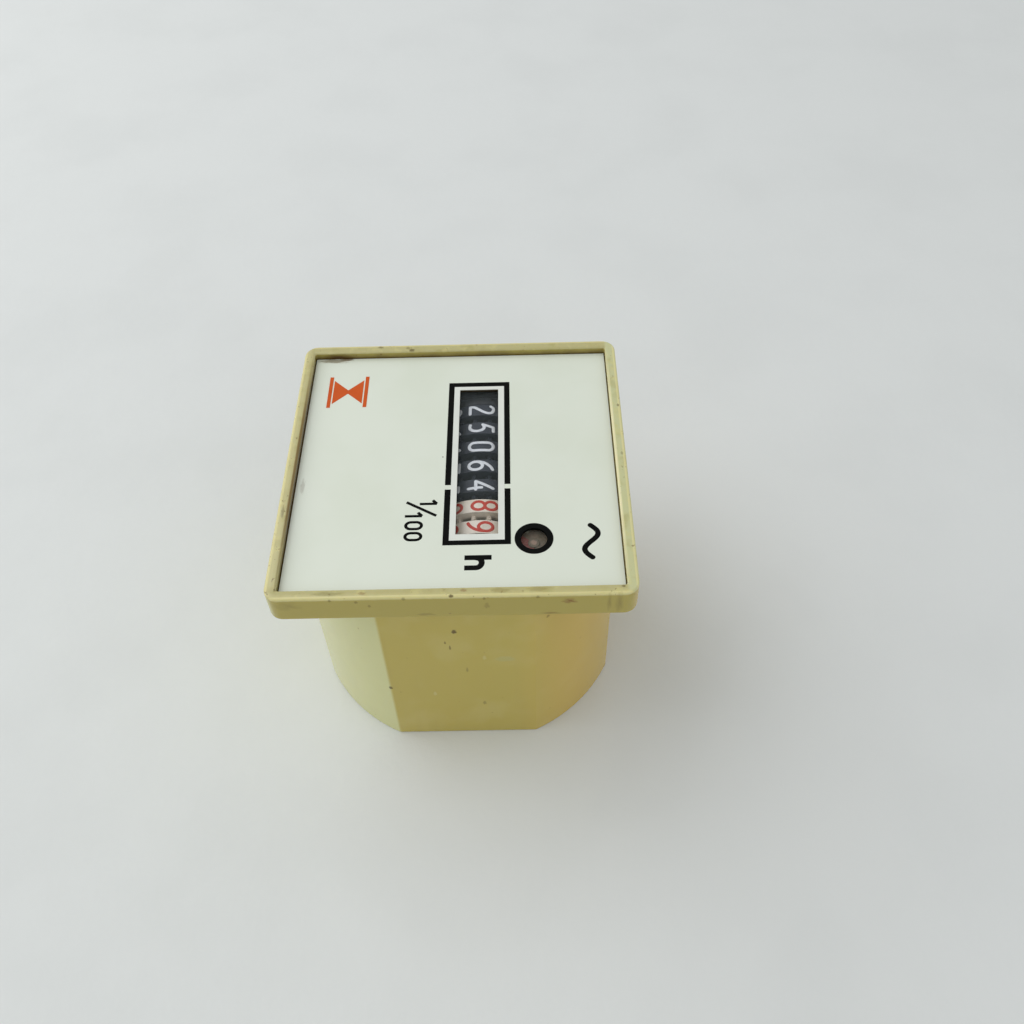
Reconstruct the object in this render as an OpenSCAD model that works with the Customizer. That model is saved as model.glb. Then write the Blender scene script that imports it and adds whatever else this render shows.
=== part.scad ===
/* [Bezel and dial] */
// Side of the square bezel
bezel_w = 48; // [46:0.5:60]
// Thickness of the bezel in front of the panel
bezel_h = 4.4; // [3:0.1:8]
// Corner radius of the bezel
bezel_r = 2; // [1.5:0.1:6]
// Chamfer along the front edge of the bezel
bezel_edge = 0.3; // [0.2:0.1:1]
// Width of the raised rim around the dial
rim_w = 1.55; // [1:0.05:2.5]
// Depth of the dial's face below the rim
dial_recess = 1.2; // [0.4:0.1:2]
// Thickness of the dial plate
dial_t = 0.4; // [0.2:0.1:0.8]
// Margin of the window beyond the row of drums, both ends together
window_margin = 1.55; // [0.5:0.05:2]
// Height of the window
window_h = 5.75; // [4:0.05:7]
// Diameter of the indicator hole in the dial
indicator_d = 3.65; // [2.5:0.05:4.5]
// Thickness of the clear panes
pane_t = 0.5; // [0.4:0.1:1.5]
// Width of the ledge on which a clear pane rests
pane_ledge = 0.5; // [0.4:0.1:1]
// Reach of the housing's opening past each end of the dial's window
opening_reach = 1.2; // [0:0.1:1.5]
// How much wider than the window the opening behind it is, on each side
opening_clear = 0.2; // [0:0.05:0.3]
// Thickness of the ledge on which a clear pane rests
ledge_t = 0.4; // [0.3:0.1:1]
// Radius of the running indicator's disc
disc_r = 2.85; // [2:0.05:2.9]
// Thickness of the running indicator's disc
disc_t = 0.6; // [0.4:0.1:1]

/* [Body] */
// Width of the body across its flats
body_flat = 44.6; // [43.6:0.1:45]
// Diameter of the body's round sides
body_d = 49.4; // [48:0.1:50]
// Wall of the body
wall = 1.6; // [1:0.1:2]
// Thickness of the rear cover
cover_t = 2.4; // [1.8:0.1:4]
// Radius of the two screw bosses
boss_r = 2.4; // [2:0.1:2.6]
// Length of the two screw bosses
boss_l = 9; // [6:0.5:9.5]
// Depth of the screw bosses in the round wall
boss_sink = 0.4; // [0.2:0.05:0.6]

/* [Terminals] */
// Width of a terminal blade
blade_w = 6.3; // [4.8:0.1:6.3]
// Thickness of a terminal blade
blade_t = 0.8; // [0.5:0.1:0.8]
// Depth of the connector wells
well_depth = 9; // [7:0.5:9.5]
// Width of the connector wells
well_w = 3.4; // [2.8:0.1:3.6]
// Length of the connector wells
well_l = 9; // [8:0.1:11]
// Wall of the connector wells
well_wall = 0.8; // [0.6:0.1:1]

/* [Counter] */
// Radius of the number drums
drum_r = 8; // [7.6:0.1:8.4]
// Spacing of the number drums along their shaft
drum_pitch = 3.75; // [3.6:0.05:3.9]
// Width of the printed rim of a drum
drum_w = 2.27; // [2:0.01:2.4]
// Clearance between the drums and the base of the counter frame
drum_gap = 0.8; // [0.6:0.1:2]
// Sideways place of the middle drum, from the middle of the dial
row_x = -0.55; // [-1:0.05:0]
// Place of the drum shaft above the middle of the dial
row_y = 3.4; // [2.5:0.1:4]
// Distance of the window's middle line below the drum shaft
window_drop = 0.33; // [0:0.01:0.6]
// How far the window sits to the left of the drums' middle
window_shift = 0.33; // [0:0.01:0.6]
// Radius of the drum shaft
shaft_r = 1; // [0.7:0.05:1.3]
// Module of the carry teeth
carry_m = 0.66; // [0.6:0.01:0.68]
// Radius of the carry pinions' shaft
carry_shaft_r = 0.6; // [0.4:0.05:0.8]
// Angle from the drum shaft down to the carry pinions' shaft
carry_angle = 215; // [205:1:225]
// Thickness of the counter frame's base
base_t = 1.2; // [0.8:0.1:2]
// Thickness of the counter frame's cheeks
cheek_t = 1.6; // [1.2:0.1:1.8]

/* [Gear train] */
// Module of the first two pairs of gears
train_m = 0.3; // [0.28:0.01:0.31]
// Module of the pair that turns the worm arbor
arbor_m = 0.4; // [0.36:0.01:0.42]
// Module of the worm and its wheel
worm_m = 0.4; // [0.38:0.01:0.41]
// Pitch radius of the worm
worm_r = 1.32; // [1.2:0.01:1.4]
// Distance of the worm from the last drum's middle, along the drum shaft
worm_at = 3.24; // [3.1:0.01:3.4]
// Width of the gear wheels
gear_w = 1; // [0.7:0.1:1.1]
// Radius of the gear pins
gear_pin_r = 0.6; // [0.4:0.05:0.7]
// Room between the movement plate and the counter frame
train_room = 5; // [4.8:0.1:7]
// Thickness of the movement plate
plate_t = 1; // [0.8:0.1:2]
// Radius of the plate pillars
pillar_r = 1.5; // [1.2:0.1:1.8]

/* [Motor] */
// Clearance between the motor cup and the connector wells
motor_gap = 0.98; // [0.3:0.01:2]
// Height of the motor cup
motor_h = 9.6; // [9:0.1:12]
// Thickness of the motor's steel sheet
sheet_t = 0.8; // [0.6:0.1:1]
// Radius of the rotor magnet
rotor_r = 7.3; // [6:0.1:7.4]
// Air gap between the rotor magnet and the claws
air_gap = 0.5; // [0.3:0.05:0.6]
// Radius of the rotor pin
rotor_pin_r = 0.6; // [0.4:0.05:0.7]

/* [Clearances] */
// Running clearance between a pin and its bore
run = 0.05; // [0.03:0.01:0.08]
// Clearance around a let-in piece
fit = 0.12; // [0.05:0.01:0.2]
// Side clearance between moving pieces
gap = 0.3; // [0.2:0.05:0.4]
// Play between meshing teeth
play = 0.12; // [0.08:0.01:0.16]

/* [Hidden] */
$fn = 64;
eps = 0.01;

// Heights, from the rear face up to the rim
motor_z = cover_t;
pole_z = motor_z + motor_h;
plate_z = pole_z + sheet_t;
train_z = plate_z + plate_t;
plane_1 = train_z + gap;
plane_2 = plane_1 + gear_w + gap;
plane_3 = plane_2 + gear_w + gap;
base_z = train_z + train_room;
deck_z = base_z + base_t;
axis_z = deck_z + drum_gap + drum_r;
front_z = axis_z + drum_r;
pane_z = front_z + ledge_t;
seat_z = pane_z + pane_t;
dial_z = seat_z + dial_t;
depth = dial_z + dial_recess;
flange_z = depth - bezel_h;

// Plan of the body
inner_flat = body_flat - 2 * wall;
inner_d = body_d - 2 * wall;
dial_w = bezel_w - 2 * rim_w;

// Drums, counted from the left
drum_n = 7;
reading = [2, 5, 0, 6, 4, 8, 9];
function drum_x(k) = row_x + (k - (drum_n - 1) / 2) * drum_pitch;
window_l = drum_n * drum_pitch + window_margin;
window_x = row_x - window_shift;
window_y = row_y - window_drop;
side_w = (drum_pitch - drum_w) / 2 - 0.09;
carry_n = 20;
pinion_n = 8;
carry_d = (carry_n + pinion_n) / 2 * carry_m;
carry_y = row_y + carry_d * cos(carry_angle);
carry_z = axis_z + carry_d * sin(carry_angle);
carry_add = 0.85;
carry_ded = 1.15;
lock_r = carry_n / 2 * carry_m + 0.1;
left_face = drum_x(0) - drum_w / 2 - 0.2;
worm_x = drum_x(drum_n - 1) + worm_at;
right_face = worm_x + 1.2;
cheek_y0 = carry_y - 3;
cheek_y1 = row_y + 4.2;

// Worm arbor
wheel_n = 30;
worm_y = row_y + wheel_n / 2 * worm_m + worm_r;
worm_pitch = PI * worm_m;
wheel_w = 0.8;
journal_r = 0.75;
arm_z = axis_z + 5;
arm_t = 1.4;
disc_z = pane_z - 0.2 - disc_t;
disc_hole_r = disc_r + gap;
lens_r = disc_hole_r + pane_ledge;

// Centres of the gears, from the motor to the worm arbor
pinion_t = 10;
first_t = 50;
second_t = 60;
arbor_t = 20;
d_1 = (pinion_t + first_t) / 2 * train_m;
d_2 = (pinion_t + second_t) / 2 * train_m;
d_3 = (pinion_t + arbor_t) / 2 * arbor_m;
motor_at = [0, 0];
arbor_at = [worm_x, worm_y];
second_at = arbor_at + d_3 * [cos(215), sin(215)];
span = norm(second_at - motor_at);
along = (d_1 * d_1 - d_2 * d_2 + span * span) / (2 * span);
aside = sqrt(d_1 * d_1 - along * along);
line = (second_at - motor_at) / span;
first_at = motor_at + along * line + aside * [-line[1], line[0]];
function heading(a, b) = atan2(b[1] - a[1], b[0] - a[0]);
function mesh_phase(a, phase, n, b, m) = let (h = heading(a, b)) h + 180 - n / m * (phase - h) - 180 / m;
motor_phase = 0;
first_phase = mesh_phase(motor_at, motor_phase, pinion_t, first_at, first_t);
second_phase = mesh_phase(first_at, first_phase, pinion_t, second_at, second_t);
arbor_phase = mesh_phase(second_at, second_phase, pinion_t, arbor_at, arbor_t);

// Places of the pillars and of the cover screws
pillar_x0 = left_face - 1.4 + 1.6;
pillar_x1 = right_face - 1.8;
pillar_at = [[pillar_x0, row_y + 5.2], [pillar_x0, carry_y - 0.4], [pillar_x1, carry_y - 0.4]];
boss_at = (inner_d / 2 + boss_sink - boss_r) / sqrt(2);
boss_list = [[-boss_at, boss_at], [boss_at, -boss_at]];
screw_r = 0.8;
head_r = 1.4;
head_t = 0.9;

// Terminal wells beside the motor
well_x = inner_flat / 2 - fit - well_wall - well_w / 2;
motor_r = well_x - well_w / 2 - well_wall - motor_gap;
well_top = well_depth + well_wall;
lug_z = pole_z - 1;
lug_t = 0.7;

// Points of a toothed wheel with involute flanks
function roll(a) = tan(a) * 180 / PI - a;
function flank(r, base, half) = half + roll(20) - (r > base ? roll(acos(base / r)) : 0);
function polar(r, a) = [r * cos(a), r * sin(a)];
function tooth_radii(n, m, add, ded) = let (p = n * m / 2, a = p - ded * m, b = p + add * m)
    [for (s = [0 : 0.25 : 1]) a + s * (b - a)];
function tooth_points(n, m, add, ded, at, slack) =
    let (p = n * m / 2, base = p * cos(20), half = 90 / n - slack / (4 * p) * 180 / PI,
        radii = tooth_radii(n, m, add, ded))
    concat([for (r = radii) polar(r, at - flank(r, base, half))],
        [for (i = [len(radii) - 1 : -1 : 0]) polar(radii[i], at + flank(radii[i], base, half))]);
function wheel_points(n, m, add, ded, phase, slack) =
    [for (i = [0 : n - 1]) each tooth_points(n, m, add, ded, phase + i * 360 / n, slack)];

// Toothed wheel of height h
module toothed(n, m, phase, h, add = 0.85, ded = 1.15, slack = play) {
    linear_extrude(h) polygon(wheel_points(n, m, add, ded, phase, slack));
}

// Places a piece drawn along its own axis onto the drum shaft's direction
module along_x(x, y, z) {
    translate([x, y, z]) rotate([90, 0, 90]) children();
}

// Round section with four flats
module body_block(d, flat, z, h) {
    translate([0, 0, z]) intersection() {
        cylinder(d = d, h = h, $fn = 180);
        translate([-flat / 2, -flat / 2, 0]) cube([flat, flat, h]);
    }
}

// Square slab with round corners and a chamfered front edge
module bezel_slab() {
    c = bezel_edge;
    h = bezel_h - c;
    k = bezel_w / 2 - bezel_r;
    translate([-k, -bezel_w / 2, 0]) cube([2 * k, bezel_w, h]);
    translate([-bezel_w / 2, -k, 0]) cube([bezel_w, 2 * k, h]);
    for (x = [-k, k], y = [-k, k]) {
        translate([x, y, 0]) cylinder(r = bezel_r, h = h);
        translate([x, y, h]) cylinder(r1 = bezel_r, r2 = bezel_r - c, h = c);
    }
    for (a = [0, 90]) {
        rotate([0, 0, a]) translate([0, k, h]) rotate([90, 0, 0]) linear_extrude(2 * k)
            polygon([[-bezel_w / 2, 0], [bezel_w / 2, 0], [bezel_w / 2 - c, c], [-bezel_w / 2 + c, c]]);
    }
}

// Box about the middle of the window
module window_box(grow, z, h, reach = 0) {
    l = window_l + 2 * (grow + reach);
    translate([window_x - l / 2, window_y - window_h / 2 - grow, z]) cube([l, window_h + 2 * grow, h]);
}

// Housing
module housing() {
    color([0.78, 0.74, 0.52]) difference() {
        union() {
            difference() {
                union() {
                    translate([0, 0, flange_z]) bezel_slab();
                    body_block(body_d, body_flat, 0, flange_z + 1);
                }
                body_block(inner_d, inner_flat, -1, front_z + 1);
            }
            for (p = boss_list) {
                intersection() {
                    translate([p[0], p[1], cover_t]) cylinder(r = boss_r, h = boss_l);
                    body_block(inner_d + wall, inner_flat + wall, cover_t, boss_l);
                }
            }
        }
        translate([-dial_w / 2, -dial_w / 2, seat_z]) cube([dial_w, dial_w, depth]);
        window_box(opening_clear + pane_ledge, pane_z, depth, opening_reach);
        window_box(opening_clear, front_z - 1, depth, opening_reach);
        translate([worm_x, worm_y, pane_z]) cylinder(r = lens_r, h = depth);
        translate([worm_x, worm_y, front_z - 1]) cylinder(r = disc_hole_r, h = depth);
        for (p = boss_list) {
            translate([p[0], p[1], cover_t - 1]) cylinder(r = screw_r, h = boss_l);
        }
    }
}

// Dial plate
module dial_plate() {
    w = dial_w - 2 * fit;
    color([0.87, 0.89, 0.83]) difference() {
        translate([-w / 2, -w / 2, seat_z]) cube([w, w, dial_t]);
        window_box(0, seat_z - 1, 3);
        translate([worm_x, worm_y, seat_z - 1]) cylinder(d = indicator_d, h = 3);
    }
}

// Clear pane of the window
module window_pane() {
    color([0.9, 0.95, 0.95, 0.4])
        window_box(opening_clear + pane_ledge - fit, pane_z, pane_t, opening_reach);
}

// Clear pane of the indicator
module indicator_lens() {
    color([0.9, 0.95, 0.95, 0.4]) translate([worm_x, worm_y, pane_z])
        cylinder(r = lens_r - fit, h = pane_t);
}

// Rear cover
module rear_cover() {
    color([0.76, 0.72, 0.5]) difference() {
        union() {
            body_block(inner_d - 2 * fit, inner_flat - 2 * fit, 0, cover_t);
            for (s = [-1, 1]) {
                translate([s * well_x - well_w / 2 - well_wall, -well_l / 2 - well_wall, 0])
                    cube([well_w + 2 * well_wall, well_l + 2 * well_wall, well_top]);
            }
        }
        for (s = [-1, 1]) {
            translate([s * well_x - well_w / 2, -well_l / 2, -1]) cube([well_w, well_l, well_depth + 1]);
            translate([s * well_x - blade_t / 2 - 0.02, -blade_w / 2 - 0.02, well_depth - 1])
                cube([blade_t + 0.04, blade_w + 0.04, well_wall + 2]);
        }
        for (p = boss_list) {
            translate([p[0], p[1], -1]) cylinder(r = screw_r + fit, h = cover_t + 2);
            translate([p[0], p[1], -1]) cylinder(r = head_r + fit, h = head_t + 1.1);
        }
    }
}

// Screws of the rear cover
module cover_screws() {
    color([0.72, 0.72, 0.72]) for (p = boss_list) {
        translate([p[0], p[1], 0.1]) difference() {
            union() {
                cylinder(r = head_r, h = head_t);
                cylinder(r = screw_r - 0.02, h = cover_t + boss_l - 3);
            }
            translate([-head_r, -0.2, -1]) cube([2 * head_r, 0.4, 1.4]);
        }
    }
}

// Terminal blade, drawn on the right-hand side
module terminal() {
    tab_z = lug_z + lug_t;
    tip_z = 1.2;
    w = blade_w / 2;
    c = 1;
    difference() {
        along_x(well_x - blade_t / 2, 0, 0) linear_extrude(blade_t)
            polygon([
                [-w, well_top], [-w, tip_z + c], [c - w, tip_z],
                [w - c, tip_z], [w, tip_z + c], [w, well_top]
            ]);
        along_x(well_x - blade_t, 0, tip_z + 3.4) cylinder(r = 0.85, h = 2 * blade_t);
    }
    neck_z = well_top - 0.5;
    translate([well_x - blade_t / 2, -1.2, neck_z]) cube([blade_t, 2.4, tab_z + 0.5 - neck_z]);
    translate([motor_r + 0.4, -1.2, tab_z]) cube([well_x - motor_r, 2.4, 0.5]);
}

// Left terminal
module terminal_left() {
    color([0.8, 0.76, 0.62]) mirror([1, 0, 0]) terminal();
}

// Right terminal
module terminal_right() {
    color([0.8, 0.76, 0.62]) terminal();
}

// Counter frame
module counter_frame() {
    x0 = left_face - 1.4 - cheek_t;
    x1 = right_face + cheek_t;
    color([0.13, 0.14, 0.16]) difference() {
        union() {
            translate([x0, cheek_y0, base_z]) cube([x1 - x0, worm_y + 2 - cheek_y0, base_t]);
            translate([x0, cheek_y0, deck_z - eps])
                cube([cheek_t, cheek_y1 - cheek_y0, front_z - deck_z + eps]);
            translate([right_face, cheek_y0, deck_z - eps])
                cube([cheek_t, cheek_y1 - cheek_y0, front_z - deck_z + eps]);
            along_x(x0, row_y, axis_z) cylinder(r = drum_r - 0.1, h = left_face - x0);
            translate([right_face, cheek_y1 - 1, arm_z]) cube([cheek_t, 2, arm_t]);
            translate([worm_x - 1.2, cheek_y1, arm_z])
                cube([x1 - worm_x + 1.2, worm_y + 1.6 - cheek_y1, arm_t]);
        }
        translate([worm_x, worm_y, base_z - 1]) cylinder(r = journal_r + run, h = depth);
        along_x(x0 - 1, row_y, axis_z) cylinder(r = shaft_r + 0.02, h = x1 - x0 + 2);
        along_x(x0 - 1, carry_y, carry_z) cylinder(r = carry_shaft_r + 0.02, h = x1 - x0 + 2);
        for (p = pillar_at) {
            translate([p[0], p[1], base_z - 1]) cylinder(r = screw_r + 0.1, h = base_t + 2);
        }
        translate([first_at[0], first_at[1], base_z - 1]) cylinder(r = gear_pin_r + 0.1, h = base_t + 2);
        translate([second_at[0], second_at[1], base_z - 1]) cylinder(r = gear_pin_r + 0.1, h = base_t + 2);
    }
}

// Shaft of the drums
module drum_shaft() {
    x0 = left_face - 1.4 - cheek_t;
    color([0.75, 0.76, 0.78])
        along_x(x0, row_y, axis_z) cylinder(r = shaft_r, h = right_face + cheek_t - x0);
}

// Shaft of the carry pinions
module pinion_shaft() {
    x0 = left_face - 1.4 - cheek_t;
    color([0.75, 0.76, 0.78])
        along_x(x0, carry_y, carry_z) cylinder(r = carry_shaft_r, h = right_face + cheek_t - x0);
}

// Number drum k, with the gear for the carry pinion on its right and the locking ring on its left
module drum(k) {
    w = drum_w;
    tube_r = carry_n / 2 * carry_m - carry_ded * carry_m - 0.1;
    hub_l = drum_pitch - 0.1;
    hub_a = k > 0 ? hub_l / 2 : w / 2 + 0.1;
    lock_w = k > 0 ? side_w : 0;
    notch = carry_angle + 19 + (9 - reading[k]) * 36;
    along_x(drum_x(k), row_y, axis_z) difference() {
        union() {
            translate([0, 0, -w / 2]) difference() {
                cylinder(r = drum_r, h = w, $fn = 120);
                translate([0, 0, -1]) cylinder(r = drum_r - 1, h = w + 2);
            }
            translate([0, 0, w / 2 - 0.9]) cylinder(r = drum_r - 0.9, h = 0.9);
            translate([0, 0, -w / 2 - lock_w]) cylinder(r = tube_r, h = w + lock_w - 0.5);
            translate([0, 0, -hub_a]) cylinder(r = shaft_r + 1.1, h = hub_a + hub_l / 2);
            if (k < drum_n - 1) {
                translate([0, 0, w / 2 - eps]) toothed(carry_n, carry_m, carry_angle - 180 / carry_n,
                    side_w + eps, carry_add, carry_ded, 2 * play);
            }
            if (k > 0) {
                translate([0, 0, -w / 2 - side_w]) lock_ring(notch);
            }
            if (k == drum_n - 1) {
                translate([0, 0, w / 2 - 0.5]) cylinder(r = 3, h = worm_at - w / 2 + 0.5);
                translate([0, 0, worm_at - wheel_w / 2])
                    toothed(wheel_n, worm_m, 90 + 180 / wheel_n - 90, wheel_w, 0.7, 1.05, 2.2 * play);
                cylinder(r = shaft_r + 1.1, h = right_face - drum_x(k) - 0.1);
            }
        }
        translate([0, 0, -w]) cylinder(r = shaft_r + run, h = drum_pitch * 3);
        translate([0, 0, -w / 2 - 1]) difference() {
            cylinder(r = tube_r - 0.9, h = w + 0.1);
            translate([0, 0, -1]) cylinder(r = shaft_r + 1.1, h = w + 3);
        }
    }
}

// Locking ring with its notch and the tooth that drives the carry pinion
module lock_ring(notch) {
    tip = carry_n / 2 * carry_m + carry_add * carry_m;
    difference() {
        union() {
            cylinder(r = lock_r, h = side_w + eps);
            rotate([0, 0, notch + 13]) translate([lock_r - 0.5, -0.4, 0])
                cube([tip - lock_r + 0.5, 0.8, side_w + eps]);
        }
        rotate([0, 0, notch]) translate([lock_r - 1, -0.75, -1]) cube([3, 1.5, side_w + 1]);
    }
}

// The seven drums
module drum_10000() {
    color([0.2, 0.22, 0.25]) drum(0);
}
module drum_1000() {
    color([0.2, 0.22, 0.25]) drum(1);
}
module drum_100() {
    color([0.2, 0.22, 0.25]) drum(2);
}
module drum_10() {
    color([0.2, 0.22, 0.25]) drum(3);
}
module drum_1() {
    color([0.2, 0.22, 0.25]) drum(4);
}
module drum_tenths() {
    color([0.86, 0.82, 0.78]) drum(5);
}
module drum_hundredths() {
    color([0.86, 0.82, 0.78]) drum(6);
}

// Carry pinion between drum k and the next one: eight teeth beside the gear, four beside the locking ring
module carry_pinion(k) {
    x = drum_x(k) + drum_w / 2 + 0.09;
    color([0.9, 0.9, 0.86]) along_x(x, carry_y, carry_z) difference() {
        union() {
            toothed(pinion_n, carry_m, carry_angle + 180, side_w, carry_add, carry_ded, 2 * play);
            linear_extrude(2 * side_w) for (i = [0 : 3]) {
                polygon(concat([[0, 0]], tooth_points(pinion_n, carry_m, carry_add, carry_ded,
                    carry_angle + 225 + i * 90, 2 * play)));
            }
            cylinder(r = pinion_n / 2 * carry_m - carry_ded * carry_m - 0.05, h = 2 * side_w);
        }
        translate([0, 0, -1]) cylinder(r = carry_shaft_r + run, h = 4 * side_w + 2);
    }
}
module carry_pinion_1() {
    carry_pinion(0);
}
module carry_pinion_2() {
    carry_pinion(1);
}
module carry_pinion_3() {
    carry_pinion(2);
}
module carry_pinion_4() {
    carry_pinion(3);
}
module carry_pinion_5() {
    carry_pinion(4);
}
module carry_pinion_6() {
    carry_pinion(5);
}

// Movement plate
module movement_plate() {
    color([0.8, 0.68, 0.38]) difference() {
        body_block(inner_d - 2 * fit, inner_flat - 2 * fit, plate_z, plate_t);
        translate([motor_at[0], motor_at[1], plate_z - 1]) cylinder(r = 3, h = plate_t + 2);
        for (p = concat(pillar_at, [first_at, second_at])) {
            translate([p[0], p[1], plate_z - 1]) cylinder(r = gear_pin_r + 0.02, h = plate_t + 2);
        }
    }
}

// Pillars between the movement plate and the counter frame
module plate_pillars() {
    color([0.8, 0.68, 0.38]) for (p = pillar_at) {
        translate([p[0], p[1], plate_z]) difference() {
            union() {
                cylinder(r = gear_pin_r, h = plate_t + 1);
                translate([0, 0, plate_t]) cylinder(r = pillar_r, h = train_room);
            }
            translate([0, 0, plate_t + train_room - 3]) cylinder(r = screw_r, h = 5);
        }
    }
}

// Screws of the counter frame
module frame_screws() {
    color([0.72, 0.72, 0.72]) for (p = pillar_at) {
        translate([p[0], p[1], deck_z]) difference() {
            union() {
                cylinder(r = head_r, h = head_t);
                translate([0, 0, -base_t - 2]) cylinder(r = screw_r - 0.02, h = base_t + 2.5);
            }
            translate([-head_r, -0.2, head_t - 0.4]) cube([2 * head_r, 0.4, 2]);
        }
    }
}

// Pins of the two gears
module gear_pin(p) {
    color([0.75, 0.76, 0.78]) translate([p[0], p[1], plate_z])
        cylinder(r = gear_pin_r, h = plate_t + train_room + base_t / 2);
}
module gear_pin_1() {
    gear_pin(first_at);
}
module gear_pin_2() {
    gear_pin(second_at);
}

// First gear, with its pinion above it
module first_gear() {
    color([0.93, 0.92, 0.86]) translate([first_at[0], first_at[1], 0]) difference() {
        union() {
            translate([0, 0, plane_1]) toothed(first_t, train_m, first_phase, gear_w);
            translate([0, 0, plane_1]) toothed(pinion_t, train_m, first_phase, plane_3 - plane_1 - 0.1);
        }
        translate([0, 0, plane_1 - 1]) cylinder(r = gear_pin_r + run, h = train_room);
    }
}

// Second gear, with its pinion above it
module second_gear() {
    color([0.93, 0.92, 0.86]) translate([second_at[0], second_at[1], 0]) difference() {
        union() {
            translate([0, 0, plane_1 - 0.1]) cylinder(r = gear_pin_r + 0.7, h = gear_w + gap + 0.1);
            translate([0, 0, plane_2]) toothed(second_t, train_m, second_phase, gear_w);
            translate([0, 0, plane_2])
                toothed(pinion_t, arbor_m, second_phase, plane_3 - plane_2 + gear_w + 0.3);
        }
        translate([0, 0, plane_1 - 2]) cylinder(r = gear_pin_r + run, h = train_room + 2);
    }
}

// Outline of a single-start worm thread
function thread_r(a) = let (b = abs(a), half = 360 * 0.5 * (0.5 - 2.6 * play / worm_pitch))
    b < half * 0.6 ? worm_r + 0.7 * worm_m :
    b < half * 1.3 ? worm_r + 0.7 * worm_m - 1.65 * worm_m * (b - half * 0.6) / (half * 0.7) :
    worm_r - 0.95 * worm_m;

// Worm arbor
module worm_arbor() {
    h = 6;
    color([0.93, 0.92, 0.86]) translate([worm_x, worm_y, 0]) {
        translate([0, 0, plane_3]) toothed(arbor_t, arbor_m, arbor_phase, gear_w);
        translate([0, 0, plane_3]) cylinder(r = journal_r, h = disc_z + disc_t - plane_3);
        translate([0, 0, deck_z + gap]) cylinder(r = worm_r - 0.95 * worm_m, h = arm_z - deck_z - 2 * gap);
        translate([0, 0, axis_z - h / 2]) rotate([0, 0, -90])
            linear_extrude(h, twist = 360 * h / worm_pitch, slices = 60)
            rotate([0, 0, 180 * h / worm_pitch])
            polygon([for (a = [-180 : 18 : 162]) polar(thread_r(a), a)]);
    }
}

// Running indicator
module indicator_disc() {
    color([0.75, 0.2, 0.15]) translate([worm_x, worm_y, disc_z]) difference() {
        cylinder(r = disc_r, h = disc_t);
        translate([0, 0, -1]) cylinder(r = journal_r, h = disc_t + 2);
    }
}

// Motor cup with its lower claws
module motor_cup() {
    claw_h = motor_h - sheet_t - 1.6;
    color([0.7, 0.71, 0.72]) translate([0, 0, motor_z]) difference() {
        union() {
            difference() {
                cylinder(r = motor_r, h = motor_h);
                translate([0, 0, sheet_t]) cylinder(r = motor_r - sheet_t, h = motor_h);
            }
            for (i = [0 : 11]) {
                rotate([0, 0, i * 30]) translate([rotor_r + air_gap, -1, 0.2]) cube([0.7, 2, claw_h]);
            }
        }
        translate([0, 0, -1]) cylinder(r = rotor_pin_r + 0.02, h = 3);
        for (s = [-1, 1]) {
            translate([s * motor_r - 2, -1.7, lug_z - motor_z - 0.1]) cube([4, 3.4, 3]);
        }
    }
}

// Lid of the motor with its upper claws
module pole_plate() {
    claw_h = motor_h - sheet_t - 1.6;
    color([0.7, 0.71, 0.72]) {
        translate([0, 0, pole_z]) difference() {
            cylinder(r = motor_r, h = sheet_t);
            translate([0, 0, -1]) cylinder(r = rotor_r + air_gap, h = 3);
        }
        for (i = [0 : 11]) {
            rotate([0, 0, 15 + i * 30]) translate([rotor_r + air_gap + 0.2, -1, pole_z - claw_h])
                cube([0.7, 2, claw_h + sheet_t - 0.1]);
        }
    }
}

// Bobbin of the coil, with two lugs for its leads
module coil_bobbin() {
    r0 = rotor_r + air_gap + 1.2;
    r1 = motor_r - sheet_t - 0.2;
    z0 = motor_z + sheet_t;
    h = lug_z + lug_t - z0;
    color([0.88, 0.86, 0.8]) {
        translate([0, 0, z0]) difference() {
            cylinder(r = r1, h = h);
            translate([0, 0, -1]) cylinder(r = r0, h = h + 2);
            translate([0, 0, 0.7]) difference() {
                cylinder(r = r1 + 1, h = h - 1.4);
                translate([0, 0, -1]) cylinder(r = r0 + 0.7, h = h + 2);
            }
        }
        for (s = [-1, 1]) {
            translate([s * (motor_r + 0.1) - 1.5, -1.5, lug_z]) cube([3, 3, lug_t]);
        }
    }
}

// Winding of the coil
module coil_winding() {
    r0 = rotor_r + air_gap + 1.2 + 0.7;
    r1 = motor_r - sheet_t - 0.6;
    z0 = motor_z + sheet_t + 0.7;
    color([0.72, 0.38, 0.2]) translate([0, 0, z0]) difference() {
        cylinder(r = r1, h = lug_z - z0);
        translate([0, 0, -1]) cylinder(r = r0, h = motor_h);
    }
}

// Pin of the rotor
module rotor_pin() {
    color([0.75, 0.76, 0.78]) translate([0, 0, motor_z]) cylinder(r = rotor_pin_r, h = plane_2 - motor_z);
}

// Hub of the rotor, with the motor pinion
module rotor_hub() {
    z0 = motor_z + sheet_t + gap;
    color([0.93, 0.92, 0.86]) difference() {
        union() {
            translate([0, 0, z0]) cylinder(r = 2.6, h = pole_z - 1 - z0);
            translate([0, 0, pole_z - 1.2])
                toothed(pinion_t, train_m, motor_phase, plane_1 + gear_w - pole_z + 1.2);
        }
        translate([0, 0, z0 - 1]) cylinder(r = rotor_pin_r + run, h = depth);
    }
}

// Magnet of the rotor
module rotor_magnet() {
    z0 = motor_z + sheet_t + 0.8;
    color([0.25, 0.25, 0.27]) translate([0, 0, z0]) difference() {
        cylinder(r = rotor_r, h = pole_z - 1.2 - z0);
        translate([0, 0, -1]) cylinder(r = 2.6, h = motor_h + 2);
    }
}

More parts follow.
